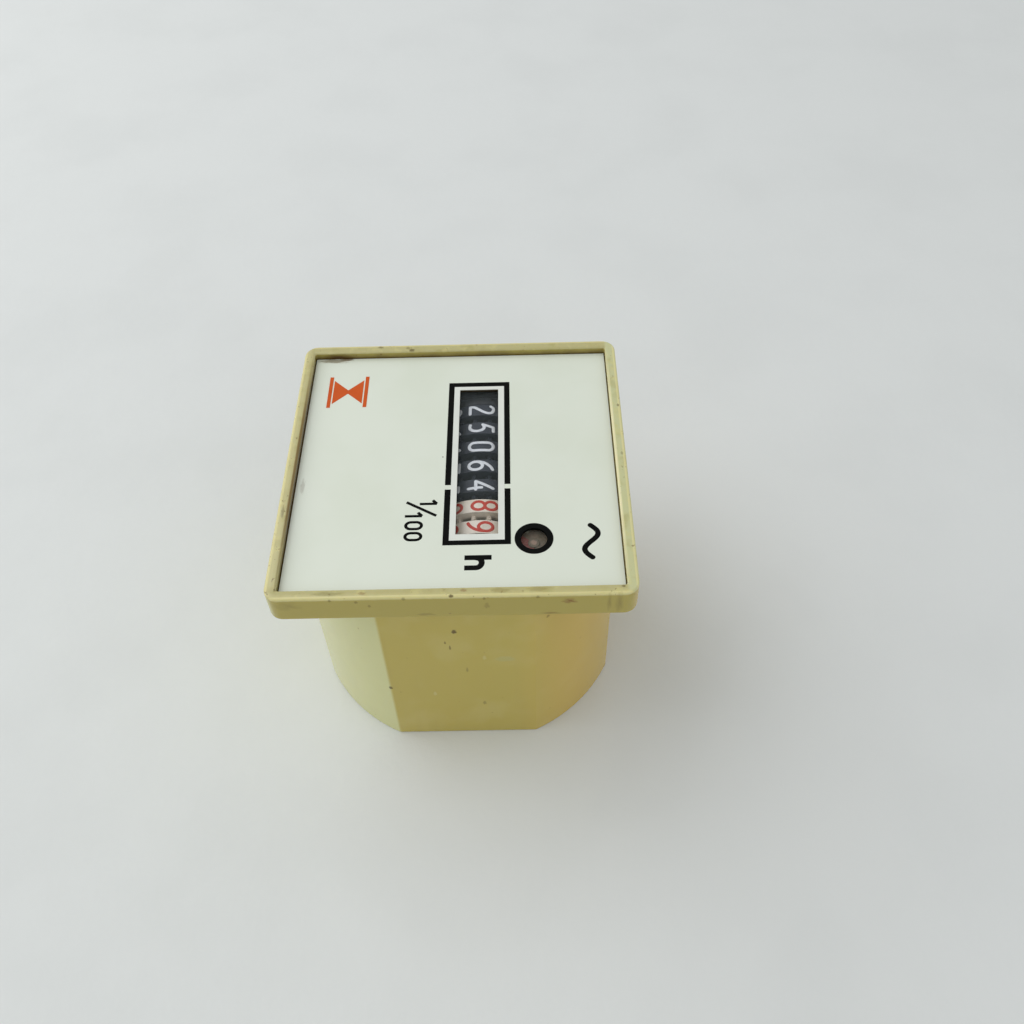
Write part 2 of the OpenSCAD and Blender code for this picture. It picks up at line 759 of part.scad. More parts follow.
housing();
dial_plate();
window_pane();
indicator_lens();
rear_cover();
cover_screws();
terminal_left();
terminal_right();
counter_frame();
drum_shaft();
pinion_shaft();
drum_10000();
drum_1000();
drum_100();
drum_10();
drum_1();
drum_tenths();
drum_hundredths();
carry_pinion_1();
carry_pinion_2();
carry_pinion_3();
carry_pinion_4();
carry_pinion_5();
carry_pinion_6();
movement_plate();
plate_pillars();
frame_screws();
gear_pin_1();
gear_pin_2();
first_gear();
second_gear();
worm_arbor();
indicator_disc();
motor_cup();
pole_plate();
coil_bobbin();
coil_winding();
rotor_pin();
rotor_hub();
rotor_magnet();
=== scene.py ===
"""Looks of a square-bezel panel hour meter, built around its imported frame.

Sizes are millimetres; they become metres where a mesh or a node is made.
"""

import logging
import math
from dataclasses import dataclass
from enum import Enum
from typing import Any, Callable, Sequence

import bpy
from mathutils import Matrix, Vector


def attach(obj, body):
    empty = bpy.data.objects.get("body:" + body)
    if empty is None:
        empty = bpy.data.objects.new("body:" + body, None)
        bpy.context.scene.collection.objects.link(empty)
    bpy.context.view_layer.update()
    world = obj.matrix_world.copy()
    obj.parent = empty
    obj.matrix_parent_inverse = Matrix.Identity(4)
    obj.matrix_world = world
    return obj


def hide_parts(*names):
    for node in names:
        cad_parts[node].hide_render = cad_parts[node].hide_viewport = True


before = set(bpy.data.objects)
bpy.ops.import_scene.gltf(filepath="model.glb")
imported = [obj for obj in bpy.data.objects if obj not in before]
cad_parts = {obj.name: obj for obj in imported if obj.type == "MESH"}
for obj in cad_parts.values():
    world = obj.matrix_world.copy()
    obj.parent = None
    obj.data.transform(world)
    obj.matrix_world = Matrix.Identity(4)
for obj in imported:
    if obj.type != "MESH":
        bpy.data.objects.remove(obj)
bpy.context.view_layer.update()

MM = 0.001
LOG = logging.getLogger("hour_meter")
Place = tuple[float, float, float]
Point = tuple[float, float]
Rect = tuple[float, float, float, float]
Test = Callable[[Vector, Vector], bool]
Piece = bpy.types.Object
Tree = bpy.types.NodeTree
Socket = bpy.types.NodeSocket

# Places that more than one piece shares
INDICATOR_AT = (13.94, 10.72)
SCREW_AT = 14.92
DIAL_FACE = 38.1

# How near a place lies to the height that it is picked by
CLOSE = 0.01

# How far red, green and blue light goes in plastic, and its depth
SCATTER = (1.0, 0.7, 0.3)
SCATTER_DEPTH = 1.5

# Sides of the case as the photograph shows them, and heights of its zones
LEFT, RIGHT, NEAR = (0.0, -1.0, 0.0), (0.0, 1.0, 0.0), (1.0, 0.0, 0.0)
UP, DOWN = (0.0, 0.0, 1.0), (0.0, 0.0, -1.0)
BODY, BEZEL, RIM, RIM_ALL = (-1.0, 34.8), (34.8, 38.9), (39.0, 40.0), (38.9, 40.0)


def metres(place: Sequence[float]) -> tuple[float, ...]:
    """Turns millimetres to metres."""
    return tuple(c * MM for c in place)


# ---------------------------------------------------------------- materials

def linear(colour: str) -> tuple[float, float, float, float]:
    """Turns an sRGB hex colour to a linear one.

    Args:
        colour: a hash sign and six hex digits.

    Returns:
        Linear red, green and blue, with an alpha of 1.
    """
    parts = [int(colour[i:i + 2], 16) / 255 for i in (1, 3, 5)]
    red, green, blue = (
        p / 12.92 if p <= 0.04045 else ((p + 0.055) / 1.055) ** 2.4 for p in parts
    )
    return red, green, blue, 1.0


def add_node(
    tree: Tree,
    kind: str,
    links: dict[Any, Socket] | None = None,
    values: dict[Any, Any] | None = None,
    **settings: Any,
) -> bpy.types.Node:
    """Adds a node with its settings and links.

    Args:
        tree: the material's or world's nodes.
        kind: Blender's name for the kind of node.
        links: sockets that feed the node's inputs.
        values: plain values of the node's inputs.
        settings: the node's own options.

    Returns:
        The new node.
    """
    node = tree.nodes.new(kind)
    for name, value in settings.items():
        setattr(node, name, value)
    for key, value in (values or {}).items():
        node.inputs[key].default_value = value
    for key, socket in (links or {}).items():
        tree.links.new(socket, node.inputs[key])
    return node


def between(tree: Tree, mask: Socket, measure: Socket, limits: Point) -> Socket:
    """Keeps a mask only where a measure lies between two limits.

    Args:
        tree: the material's nodes.
        mask: the socket of the mask.
        measure: the socket of the length that is tested.
        limits: the lowest and the highest length.

    Returns:
        The socket of the mask, 0 outside the limits.
    """
    for limit, test in zip(limits, ("GREATER_THAN", "LESS_THAN")):
        kept = add_node(tree, "ShaderNodeMath", {0: measure}, {1: limit * MM}, operation=test)
        links = {0: mask, 1: kept.outputs[0]}
        mask = add_node(tree, "ShaderNodeMath", links, operation="MULTIPLY").outputs[0]
    return mask


def at_heights(tree: Tree, mask: Socket, place: Socket, heights: Point | None) -> Socket:
    """Keeps a mask between two heights, or everywhere if there are none.

    Args:
        tree: the material's nodes.
        mask: the socket of the mask.
        place: the socket of object coordinates.
        heights: the lowest and the highest height.

    Returns:
        The socket of the mask.
    """
    if heights is None:
        return mask
    axes = add_node(tree, "ShaderNodeSeparateXYZ", {0: place})
    return between(tree, mask, axes.outputs["Z"], heights)


@dataclass(frozen=True)
class Patches:
    """Soft patches of another colour, over a whole surface or between two heights."""

    colour: str
    size: float
    spread: Point
    amount: float
    stretch: Place = (1.0, 1.0, 1.0)
    heights: Point | None = None

    def mask(self, tree: Tree, place: Socket) -> Socket:
        """Gives how strongly the patches show at a place.

        Args:
            tree: the material's nodes.
            place: the socket of object coordinates.

        Returns:
            A socket from 0 to the patches' amount.
        """
        scale = tuple(1 / (self.size * MM * s) for s in self.stretch)
        grid = add_node(tree, "ShaderNodeMapping", {"Vector": place}, {"Scale": scale})
        noise = add_node(
            tree, "ShaderNodeTexNoise", {"Vector": grid.outputs[0]}, {"Scale": 1.0, "Detail": 3.0}
        )
        low, high = self.spread
        value = add_node(
            tree, "ShaderNodeMapRange", {"Value": noise.outputs[0]},
            {"From Min": low, "From Max": high, "To Max": self.amount},
            interpolation_type="SMOOTHSTEP",
        )
        return at_heights(tree, value.outputs[0], place, self.heights)


@dataclass(frozen=True)
class Shade:
    """A slow change of colour along a direction, kept between two heights."""

    colour: str
    along: Place
    start: float
    end: float
    amount: float
    heights: Point | None = None

    def mask(self, tree: Tree, place: Socket) -> Socket:
        """Gives how far the change has gone at a place.

        Args:
            tree: the material's nodes.
            place: the socket of object coordinates.

        Returns:
            A socket from 0 to the shade's amount.
        """
        reach = add_node(
            tree, "ShaderNodeVectorMath", {0: place}, {1: self.along}, operation="DOT_PRODUCT"
        )
        value = add_node(
            tree, "ShaderNodeMapRange", {"Value": reach.outputs["Value"]},
            {"From Min": self.start * MM, "From Max": self.end * MM, "To Max": self.amount},
            interpolation_type="SMOOTHSTEP",
        )
        return at_heights(tree, value.outputs[0], place, self.heights)


@dataclass(frozen=True)
class StainOrPaintedLight:
    """A mark with a ragged edge at one place, oval or with straight sides; it draws real stains,
    and painted shade and painted highlights as well.
    """

    colour: str
    centre: Place
    radii: Place
    amount: float
    ragged: float = 0.6
    soft: float = 0.45
    straight: bool = False

    def mask(self, tree: Tree, place: Socket) -> Socket:
        """Gives how strongly the mark shows at a place.

        Args:
            tree: the material's nodes.
            place: the socket of object coordinates.

        Returns:
            A socket from 0 to the mark's amount.
        """
        away = add_node(
            tree, "ShaderNodeVectorMath", {0: place}, {1: metres(self.centre)},
            operation="SUBTRACT",
        )
        units = add_node(
            tree, "ShaderNodeVectorMath", {0: away.outputs[0]}, {1: metres(self.radii)},
            operation="DIVIDE",
        ).outputs[0]
        noise = add_node(
            tree, "ShaderNodeTexNoise", {"Vector": units},
            {"Scale": 1.6, "Detail": 3.0, "Roughness": 0.6},
        )
        edge = add_node(
            tree, "ShaderNodeMath", {0: noise.outputs[0], 2: self._reach(tree, units)},
            {1: 2 * self.ragged}, operation="MULTIPLY_ADD",
        )
        outer = 1 + self.ragged
        return add_node(
            tree, "ShaderNodeMapRange", {"Value": edge.outputs[0]},
            {"From Min": outer, "From Max": outer - self.soft, "To Max": self.amount},
        ).outputs[0]

    def _reach(self, tree: Tree, units: Socket) -> Socket:
        """Gives how far out a place lies: 1 on the mark's outline.

        Args:
            tree: the material's nodes.
            units: the socket of the place, in radii from the mark's middle.

        Returns:
            The socket of that distance.
        """
        kind = "ShaderNodeVectorMath"
        if not self.straight:
            return add_node(tree, kind, {0: units}, operation="LENGTH").outputs["Value"]
        squares = add_node(tree, kind, {0: units, 1: units}, operation="MULTIPLY").outputs[0]
        length = add_node(tree, kind, {0: squares}, operation="LENGTH").outputs["Value"]
        return add_node(tree, "ShaderNodeMath", {0: length}, operation="SQRT").outputs[0]


@dataclass(frozen=True)
class SquareBand:
    """Colour that follows a square about the axis: dirt with painted shade along its walls, wear
    with a painted highlight along its edge.
    """

    colour: str
    sides: Point
    heights: Point
    amount: float
    patch: float = 3.0
    margin: float = 0.4
    ceiling: float = 40.0

    def mask(self, tree: Tree, place: Socket) -> Socket:
        """Gives how thick the band lies: full at its first height, gone at its second.

        Args:
            tree: the material's nodes.
            place: the socket of object coordinates.

        Returns:
            A socket from 0 to the band's amount.
        """
        full, gone = self.heights
        shift = (full - gone) / 2
        far = add_node(tree, "ShaderNodeVectorMath", {0: place}, operation="ABSOLUTE")
        x, y, z = add_node(tree, "ShaderNodeSeparateXYZ", {0: far.outputs[0]}).outputs
        side = add_node(tree, "ShaderNodeMath", {0: x, 1: y}, operation="MAXIMUM")
        noise = add_node(
            tree, "ShaderNodeTexNoise", {"Vector": place},
            {"Scale": 1 / (self.patch * MM), "Detail": 4.0},
        )
        height = add_node(
            tree, "ShaderNodeMath", {0: noise.outputs[0], 2: z}, {1: (full - gone) * MM},
            operation="MULTIPLY_ADD",
        )
        begin, end = metres((gone + shift, full + shift))
        value = add_node(
            tree, "ShaderNodeMapRange", {"Value": height.outputs[0]},
            {"From Min": begin, "From Max": end, "To Max": self.amount},
        )
        mask = between(tree, value.outputs[0], side.outputs[0], self.sides)
        return between(tree, mask, z, (min(full, gone) - self.margin, self.ceiling))


@dataclass(frozen=True)
class Finish:
    """One material: its colour, gloss and relief, with the patterns that lie on it."""

    name: str
    colour: str
    roughness: Point
    blotch: float
    layers: tuple[Patches | Shade | StainOrPaintedLight | SquareBand, ...]
    metallic: float = 0.0
    ior: float = 1.5
    relief: float = 0.004
    grain: Place = (0.35, 0.35, 0.35)
    alpha: float = 1.0
    subsurface: float = 0.0
    specular: float = 0.5

    def material(self) -> bpy.types.Material:
        """Gives the material, making it the first time.

        Returns:
            The Blender material of this finish.
        """
        made = bpy.data.materials.get(self.name)
        if made is not None:
            return made
        made = bpy.data.materials.new(self.name)
        made.use_nodes = True
        made.diffuse_color = linear(self.colour)
        tree = made.node_tree
        inputs = tree.nodes["Principled BSDF"].inputs
        place = add_node(tree, "ShaderNodeTexCoord").outputs["Object"]
        tree.links.new(self._tint(tree, place), inputs["Base Color"])
        tree.links.new(self._gloss(tree, place), inputs["Roughness"])
        tree.links.new(self._relief(tree, place), inputs["Normal"])
        inputs["Base Color"].default_value = linear(self.colour)
        inputs["Metallic"].default_value = self.metallic
        inputs["IOR"].default_value = self.ior
        inputs["Alpha"].default_value = self.alpha
        inputs["Specular IOR Level"].default_value = self.specular
        if self.subsurface:
            inputs["Subsurface Weight"].default_value = self.subsurface
            inputs["Subsurface Radius"].default_value = SCATTER
            inputs["Subsurface Scale"].default_value = SCATTER_DEPTH * MM
        return made

    def _tint(self, tree: Tree, place: Socket) -> Socket:
        """Lays the patterns over the base colour, one on another.

        Args:
            tree: the material's nodes.
            place: the socket of object coordinates.

        Returns:
            The socket of the colour.
        """
        colour = None
        for layer in self.layers:
            links = {0: layer.mask(tree, place)}
            values = {6: linear(self.colour), 7: linear(layer.colour)}
            if colour is not None:
                links[6] = colour
            colour = add_node(tree, "ShaderNodeMix", links, values, data_type="RGBA").outputs[2]
        return colour

    def _gloss(self, tree: Tree, place: Socket) -> Socket:
        """Varies the roughness in broad blotches, as handling leaves it.

        Args:
            tree: the material's nodes.
            place: the socket of object coordinates.

        Returns:
            The socket of the roughness.
        """
        low, high = self.roughness
        noise = add_node(
            tree, "ShaderNodeTexNoise", {"Vector": place},
            {"Scale": 1 / (self.blotch * MM), "Detail": 4.0},
        )
        return add_node(
            tree, "ShaderNodeMapRange", {"Value": noise.outputs[0]},
            {"From Min": 0.3, "From Max": 0.7, "To Min": low, "To Max": high},
        ).outputs[0]

    def _relief(self, tree: Tree, place: Socket) -> Socket:
        """Raises the fine grain of the surface.

        Args:
            tree: the material's nodes.
            place: the socket of object coordinates.

        Returns:
            The socket of the normal.
        """
        scale = tuple(1 / (g * MM) for g in self.grain)
        grid = add_node(tree, "ShaderNodeMapping", {"Vector": place}, {"Scale": scale})
        noise = add_node(
            tree, "ShaderNodeTexNoise", {"Vector": grid.outputs[0]}, {"Scale": 1.0, "Detail": 2.0}
        )
        return add_node(
            tree, "ShaderNodeBump", {"Height": noise.outputs[0]},
            {"Strength": 1.0, "Distance": self.relief * MM},
        ).outputs[0]


def marks(colour: str, *spots: tuple[float, ...]) -> tuple[StainOrPaintedLight, ...]:
    """Gives marks of one colour, each by its place, radii, amount, ragged edge and softness."""
    return tuple(StainOrPaintedLight(colour, spot[:3], spot[3:6], *spot[6:]) for spot in spots)


# Injection-moulded ABS that has yellowed: satin, a little translucent, paler on the worn rim, with
# specks and brown rub marks from the panel it sat in. Painted light lies on it too: a paler left
# side, a warmer right side, highlights on the rim's edges and shade along the walls of its recess.
CREAM = Finish(
    "abs_moulded_yellowed",
    "#C2B055",
    (0.16, 0.26),
    6.0,
    (
        # Body: painted light and sheen make its left side paler and greener, and painted warm light
        # makes its right side warmer
        Patches("#CDBE72", 9.0, (0.45, 0.7), 0.4),
        Patches("#B7A455", 4.0, (0.5, 0.75), 0.35, (1.0, 1.0, 6.0)),
        Shade("#DCE0A8", LEFT, 10.3, 10.9, 0.72, BODY),
        Shade("#DDB654", RIGHT, 6.0, 18.0, 0.6, BODY),
        # Sides of the bezel
        Shade("#B4A551", UP, 34.8, 35.0, 1.0),
        # Painted light: the bezel's left face is paler and its right face warmer, as on the body
        Shade("#DAD99B", LEFT, 22.8, 23.9, 0.75, BEZEL),
        Shade("#D4B65E", RIGHT, 22.8, 23.9, 0.6, BEZEL),
        # Rim, mottled, its outer edge pale from wear and from a painted highlight
        Shade("#BDB67E", UP, 38.98, 39.06, 1.0),
        Shade("#CBCD9C", RIGHT, 22.2, 22.8, 0.85, RIM),
        Shade("#CFC892", LEFT, 22.8, 23.3, 0.6, RIM),
        Patches("#A89E56", 2.6, (0.48, 0.72), 0.45, heights=RIM_ALL),
        Patches("#D2CB88", 1.5, (0.52, 0.7), 0.5, heights=RIM_ALL),
        # Wear with a painted highlight: the outer edge of the rim is lighter, most of all on the
        # near side
        Shade("#DDD491", NEAR, 22.9, 23.6, 0.25, (38.95, 40.0)),
        SquareBand("#E3DA9A", (23.55, 25.0), (39.2, 38.85), 0.65, 1.2),
        # Fine specks everywhere, and along the walls of the recess dirt with painted shade, darkest
        # at their foot and on the left
        Patches("#8F7440", 1.1, (0.72, 0.78), 0.5),
        Patches("#6F5420", 0.6, (0.67, 0.74), 0.6, heights=(38.2, 40.0)),
        # Painted shade with dirt: the recess walls darken all round, the left wall and its inner
        # edge most
        SquareBand("#5C4720", (0.0, 22.58), (38.1, 39.1), 0.85),
        StainOrPaintedLight("#7A5F20", (0.0, -22.62, 39.15), (23.0, 0.24, 0.5), 0.9, 0.15, 0.6, True),
        StainOrPaintedLight("#553B0E", (0.0, -22.46, 38.5), (23.0, 0.16, 0.7), 0.9, 0.15, 0.5, True),
        # Painted highlight along the inner chamfer of the right rim
        StainOrPaintedLight("#F0E8B8", (0.0, 22.62, 39.25), (23.0, 0.22, 0.3), 0.8, 0.2, 0.6, True),
        *marks("#4A2A0C", (-22.5, -19.2, 38.4, 0.35, 2.9, 0.7, 0.85, 0.6, 0.8)),
        # Rubbed streaks on the near side of the bezel
        *marks(
            "#8C7A38",
            (24.0, 21.4, 37.2, 0.9, 0.6, 2.6, 0.6, 0.5, 0.9),
            (24.0, 20.1, 37.4, 0.9, 0.35, 2.2, 0.6, 0.5, 0.9),
        ),
        *marks("#8A7B3A", (24.0, -20.9, 37.9, 0.9, 2.0, 1.1, 0.5, 0.9, 1.2)),
        *marks("#7E4A08", (24.0, 15.06, 37.91, 0.8, 1.1, 0.6, 0.8, 0.9, 0.9)),
        *marks("#7E5A18", (24.0, 12.7, 35.3, 0.8, 1.5, 0.25, 0.6, 0.8, 0.8)),
        *marks("#7E6A2C", (24.0, 4.5, 37.2, 0.5, 0.4, 0.7, 0.4, 0.9)),
        *marks("#7E6C30", (24.0, -3.4, 35.5, 0.5, 1.4, 0.3, 0.4, 0.9)),
        # Brown and grey-green smears on the near rim
        *marks("#8A6428", (23.2, -11.3, 39.3, 0.3, 0.55, 0.3, 0.5, 0.9)),
        *marks("#8A5E2A", (23.0, 1.6, 39.3, 0.3, 0.5, 0.3, 0.5, 0.8)),
        *marks(
            "#8A7A30",
            (23.1, 6.4, 39.3, 0.5, 1.4, 0.3, 0.4, 0.9),
            (23.0, 11.0, 39.3, 0.5, 1.6, 0.3, 0.4, 0.9),
        ),
        *marks("#8C8448", (23.2, -15.6, 39.3, 0.4, 2.2, 0.3, 0.5, 0.9)),
        # Dark specks of the bezel
        *marks("#6A5A10", (24.0, -10.5, 37.6, 0.4, 0.25, 0.35, 0.45)),
        *marks(
            "#5E4E08",
            (22.8, 21.9, 39.3, 0.25, 0.3, 0.3, 0.7),
            (24.0, -15.4, 38.9, 0.4, 0.25, 0.3, 0.5),
            (24.0, -12.1, 38.5, 0.4, 0.28, 0.3, 0.5),
            (24.0, -6.0, 39.0, 0.4, 0.3, 0.3, 0.45),
            (24.0, 4.2, 38.8, 0.4, 0.25, 0.3, 0.5),
            (24.0, 11.0, 38.9, 0.4, 0.3, 0.3, 0.45),
            (-22.76, -7.42, 39.3, 0.35, 0.5, 0.3, 0.8),
            (-23.5, -12.3, 39.3, 0.3, 0.5, 0.3, 0.6, 0.9),
            (-23.2, -8.0, 39.3, 0.4, 0.4, 0.3, 0.5, 0.9),
            (-9.65, 23.59, 39.3, 0.35, 0.22, 0.3, 0.6),
            (-0.06, 23.43, 39.3, 0.4, 0.22, 0.3, 0.4),
            (9.5, -23.2, 39.3, 1.3, 0.25, 0.3, 0.5, 0.9),
        ),
        # Dark, brown and pale specks of the body
        *marks(
            "#50400A",
            (23.84, 0.03, 39.3, 0.3, 0.34, 0.3, 0.8),
            (22.3, -10.56, 13.9, 0.4, 0.34, 0.45, 0.8),
        ),
        *marks("#5A4400", (22.3, -0.34, 28.59, 0.4, 0.42, 0.55, 0.9, 0.6)),
        *marks(
            "#5C4700",
            (21.36, 12.4, 30.6, 0.5, 0.3, 0.35, 0.5),
            (22.3, -1.16, 24.56, 0.3, 0.16, 0.65, 0.7),
            (22.3, -1.76, 25.87, 0.3, 0.17, 0.4, 0.65),
        ),
        *marks(
            "#8A7A3C",
            (22.3, 0.9, 18.6, 0.3, 0.2, 0.7, 0.6),
            (22.3, 3.0, 9.0, 0.3, 0.3, 0.6, 0.6),
        ),
        *marks("#BDB56E", (22.3, 6.4, 21.4, 0.4, 1.6, 0.8, 0.7, 0.3)),
        *marks(
            "#CFC480",
            (22.3, 3.5, 21.8, 0.3, 0.3, 0.6, 0.7),
            (22.3, -4.2, 12.0, 0.3, 0.3, 0.6, 0.7),
        ),
    ),
    relief=0.006,
    grain=(0.5, 0.5, 0.5),
    subsurface=0.15,
)
# The same ABS on the rear, out of the light: even, with the marks of its mould.
CREAM_REAR = Finish(
    "abs_moulded_rear",
    "#C9B676",
    (0.4, 0.55),
    5.0,
    (Patches("#D6C78E", 6.0, (0.42, 0.7), 0.6), Patches("#8F7440", 0.9, (0.68, 0.75), 0.4)),
    relief=0.008,
    grain=(0.4, 0.4, 0.4),
)
# Painted sheet, satin white with a faint green cast; dust greys its corners.
DIAL_SHEET = Finish(
    "painted_sheet_white",
    "#E3E9DA",
    (0.34, 0.44),
    8.0,
    (
        Patches("#DAE1CE", 12.0, (0.4, 0.75), 0.5),
        # Painted shade: the cut edges of the sheet, round it and in its holes, are dark brown
        Shade("#3A2E18", DOWN, -38.07, -38.02, 1.0),
        StainOrPaintedLight("#7F7254", (-21.9, -19.6, 38.1), (0.6, 2.4, 0.5), 0.75, 0.9),
        StainOrPaintedLight("#6B5230", (-22.2, -17.6, 38.1), (0.4, 1.2, 0.5), 0.8, 0.7),
        StainOrPaintedLight("#9A9482", (4.0, -21.4, 38.1), (1.6, 0.35, 0.5), 0.4, 0.9),
        StainOrPaintedLight("#55503F", (-1.13, -1.95, 38.1), (0.14, 0.14, 0.2), 0.8),
    ),
    relief=0.002,
    grain=(0.25, 0.25, 0.25),
)
# Screen ink on the sheet: solid black, flatter than the paint.
INK_BLACK = Finish(
    "screen_ink_black", "#0A0B0A", (0.55, 0.68), 2.0,
    (Patches("#131411", 2.0, (0.4, 0.7), 0.6),),
    relief=0.001, specular=0.04,
)
# Grey-white ink of the window's border, close to the sheet in tone.
INK_WHITE = Finish(
    "screen_ink_grey_white", "#E4E7DE", (0.4, 0.5), 3.0,
    (Patches("#DADED5", 4.0, (0.4, 0.7), 0.5),),
    relief=0.001,
)
# Orange ink of the hourglass: dense, with little shine.
INK_ORANGE = Finish(
    "screen_ink_orange", "#D25A1E", (0.4, 0.5), 2.0,
    (Patches("#C65219", 2.5, (0.4, 0.7), 0.5),),
    relief=0.001, specular=0.15,
)
# Cast acrylic, polished: clear, with faint wiping marks in its gloss.
ACRYLIC = Finish(
    "acrylic_cast_clear", "#9AA6A2", (0.03, 0.12), 3.0,
    (Patches("#8A9692", 5.0, (0.4, 0.7), 0.4),),
    ior=1.49, relief=0.0005, grain=(2.0, 2.0, 2.0), alpha=0.04,
)
# Moulded drums: slate black with a dry bloom.
DRUM_BLACK = Finish(
    "abs_drum_black", "#30343F", (0.42, 0.58), 2.0,
    (Patches("#3C434D", 1.6, (0.45, 0.72), 0.55), Patches("#262B32", 3.0, (0.5, 0.75), 0.5)),
    relief=0.004, grain=(0.3, 0.3, 0.3), specular=0.3,
)
# The same moulding in white that has gone warm, with painted shade darkening it towards its axis,
# between the drums.
DRUM_WHITE = Finish(
    "abs_drum_white", "#F0E6D8", (0.4, 0.55), 2.0,
    (
        Patches("#D2C7B4", 2.0, (0.45, 0.72), 0.6),
        # Painted shade in the gaps between the drums, nearer the axis
        StainOrPaintedLight("#6E6A56", (8.8, 3.4, 28.8), (90.0, 7.0, 7.0), 0.75, 0.01, 0.06),
    ),
    relief=0.004, grain=(0.3, 0.3, 0.3),
)
# Hot-stamped numerals: dense white foil, worn thin in small spots.
STAMP_WHITE = Finish(
    "hot_stamp_white", "#E4E8EE", (0.4, 0.5), 1.0,
    (Patches("#BCC2CC", 0.5, (0.55, 0.72), 0.5),),
    relief=0.002,
)
# Red foil of the last two drums, paler where it has worn.
STAMP_RED = Finish(
    "hot_stamp_red", "#C64638", (0.4, 0.5), 1.0,
    (Patches("#D0665A", 0.5, (0.55, 0.72), 0.5),),
    relief=0.002, specular=0.2,
)
# Running indicator: moulded disc, grey-brown, rubbed pale on one side.
INDICATOR = Finish(
    "acetal_indicator_brown", "#70604C", (0.4, 0.5), 1.0,
    (
        Patches("#524C3A", 0.8, (0.4, 0.7), 0.6),
        StainOrPaintedLight("#A39F8A", (11.85, 9.75, 37.0), (0.45, 0.5, 0.4), 0.9, 0.7),
        StainOrPaintedLight("#7D6B5A", (12.6, 10.6, 37.0), (1.1, 0.8, 0.4), 0.7, 0.6),
    ),
    relief=0.003, grain=(0.2, 0.2, 0.2),
)
# Enamel brushed on the disc: dull red, darker in small patches.
PAINT_RED = Finish(
    "enamel_red", "#86463A", (0.45, 0.55), 0.8,
    (Patches("#702C2C", 0.6, (0.45, 0.7), 0.6),),
    relief=0.002,
)
# End of the arbor: matt brown, with a painted highlight in its middle.
TIP_BROWN = Finish(
    "acetal_tip_brown", "#6A604C", (0.5, 0.6), 0.8,
    (
        Patches("#5A5140", 0.6, (0.45, 0.7), 0.6),
        # Painted highlight on the middle of the tip
        StainOrPaintedLight("#A08573", (*INDICATOR_AT, 37.1), (0.55, 0.55, 0.6), 0.9),
    ),
    relief=0.002,
)
# Zinc-plated steel: bright grey, cloudy in patches, with faint lines from the press.
ZINC = Finish(
    "steel_zinc_plated", "#B9BAB8", (0.28, 0.42), 1.5,
    (Patches("#9C9E9E", 1.2, (0.4, 0.7), 0.6),),
    metallic=1.0, relief=0.002, grain=(0.1, 0.8, 0.1),
)
# Tinned brass strip: silvery, drawn along the blade, brass showing through in places.
TINNED = Finish(
    "brass_tinned", "#C9C3AE", (0.3, 0.45), 1.5,
    (Patches("#A79C76", 1.4, (0.5, 0.72), 0.6),),
    metallic=1.0, relief=0.002, grain=(0.1, 0.1, 0.9),
)
# Ground steel rod: bright, with fine lines round it.
STEEL = Finish(
    "steel_ground", "#BFC1C5", (0.2, 0.32), 1.0,
    (Patches("#A4A7AC", 0.6, (0.4, 0.7), 0.5),),
    metallic=1.0, relief=0.001, grain=(1.5, 0.08, 0.08),
)
# Rolled brass sheet: golden, lined along its length, lightly tarnished.
BRASS = Finish(
    "brass_rolled", "#C9A95E", (0.28, 0.42), 2.0,
    (Patches("#A98745", 1.8, (0.45, 0.72), 0.6),),
    metallic=1.0, relief=0.002, grain=(2.0, 0.1, 0.1),
)
# Acetal as moulded: off-white, waxy, a little translucent.
ACETAL = Finish(
    "acetal_natural", "#ECE9DC", (0.3, 0.42), 2.0,
    (Patches("#DEDAC8", 2.0, (0.4, 0.7), 0.5),),
    relief=0.002, grain=(0.2, 0.2, 0.2), subsurface=0.1,
)
# Black ABS as moulded: satin, with a faint bloom.
FRAME_BLACK = Finish(
    "abs_frame_black", "#24262B", (0.4, 0.55), 2.5,
    (Patches("#31343A", 2.0, (0.45, 0.7), 0.6),),
    relief=0.005, grain=(0.35, 0.35, 0.35),
)
# Filled polyester as moulded: dull ivory.
BOBBIN = Finish(
    "polyester_bobbin", "#DAD5C4", (0.4, 0.52), 2.0,
    (Patches("#C6BFA8", 2.2, (0.4, 0.7), 0.5),),
    relief=0.003, grain=(0.3, 0.3, 0.3),
)
# Enamelled copper wire: red-brown, with a sheen along its turns. They are about 0.1 mm apart
# and drawn at 0.3 mm so that they show.
COPPER = Finish(
    "copper_wire_enamelled", "#A85A30", (0.25, 0.38), 1.0,
    (Patches("#7E3E1E", 0.3, (0.4, 0.62), 0.7, (20.0, 20.0, 1.0)),),
    metallic=1.0, relief=0.03, grain=(6.0, 6.0, 0.3),
)
# Pressed ferrite: charcoal grey, matt and finely grained.
FERRITE = Finish(
    "ferrite_pressed", "#3B3B3F", (0.5, 0.65), 1.5,
    (Patches("#4C4C52", 0.7, (0.45, 0.7), 0.6),),
    relief=0.006, grain=(0.25, 0.25, 0.25),
)


# ---------------------------------------------------------------- modelling

class Part(Enum):
    """What a selection picks."""

    VERTS = 0
    EDGES = 1
    FACES = 2


class Combine(Enum):
    """Ways in which one solid acts on another."""

    ADD = "UNION"
    CUT = "DIFFERENCE"


def only(piece: Piece) -> None:
    """Selects one object and nothing else.

    Args:
        piece: the object, which also becomes the active one.
    """
    bpy.ops.object.select_all(action="DESELECT")
    piece.select_set(True)
    bpy.context.view_layer.objects.active = piece


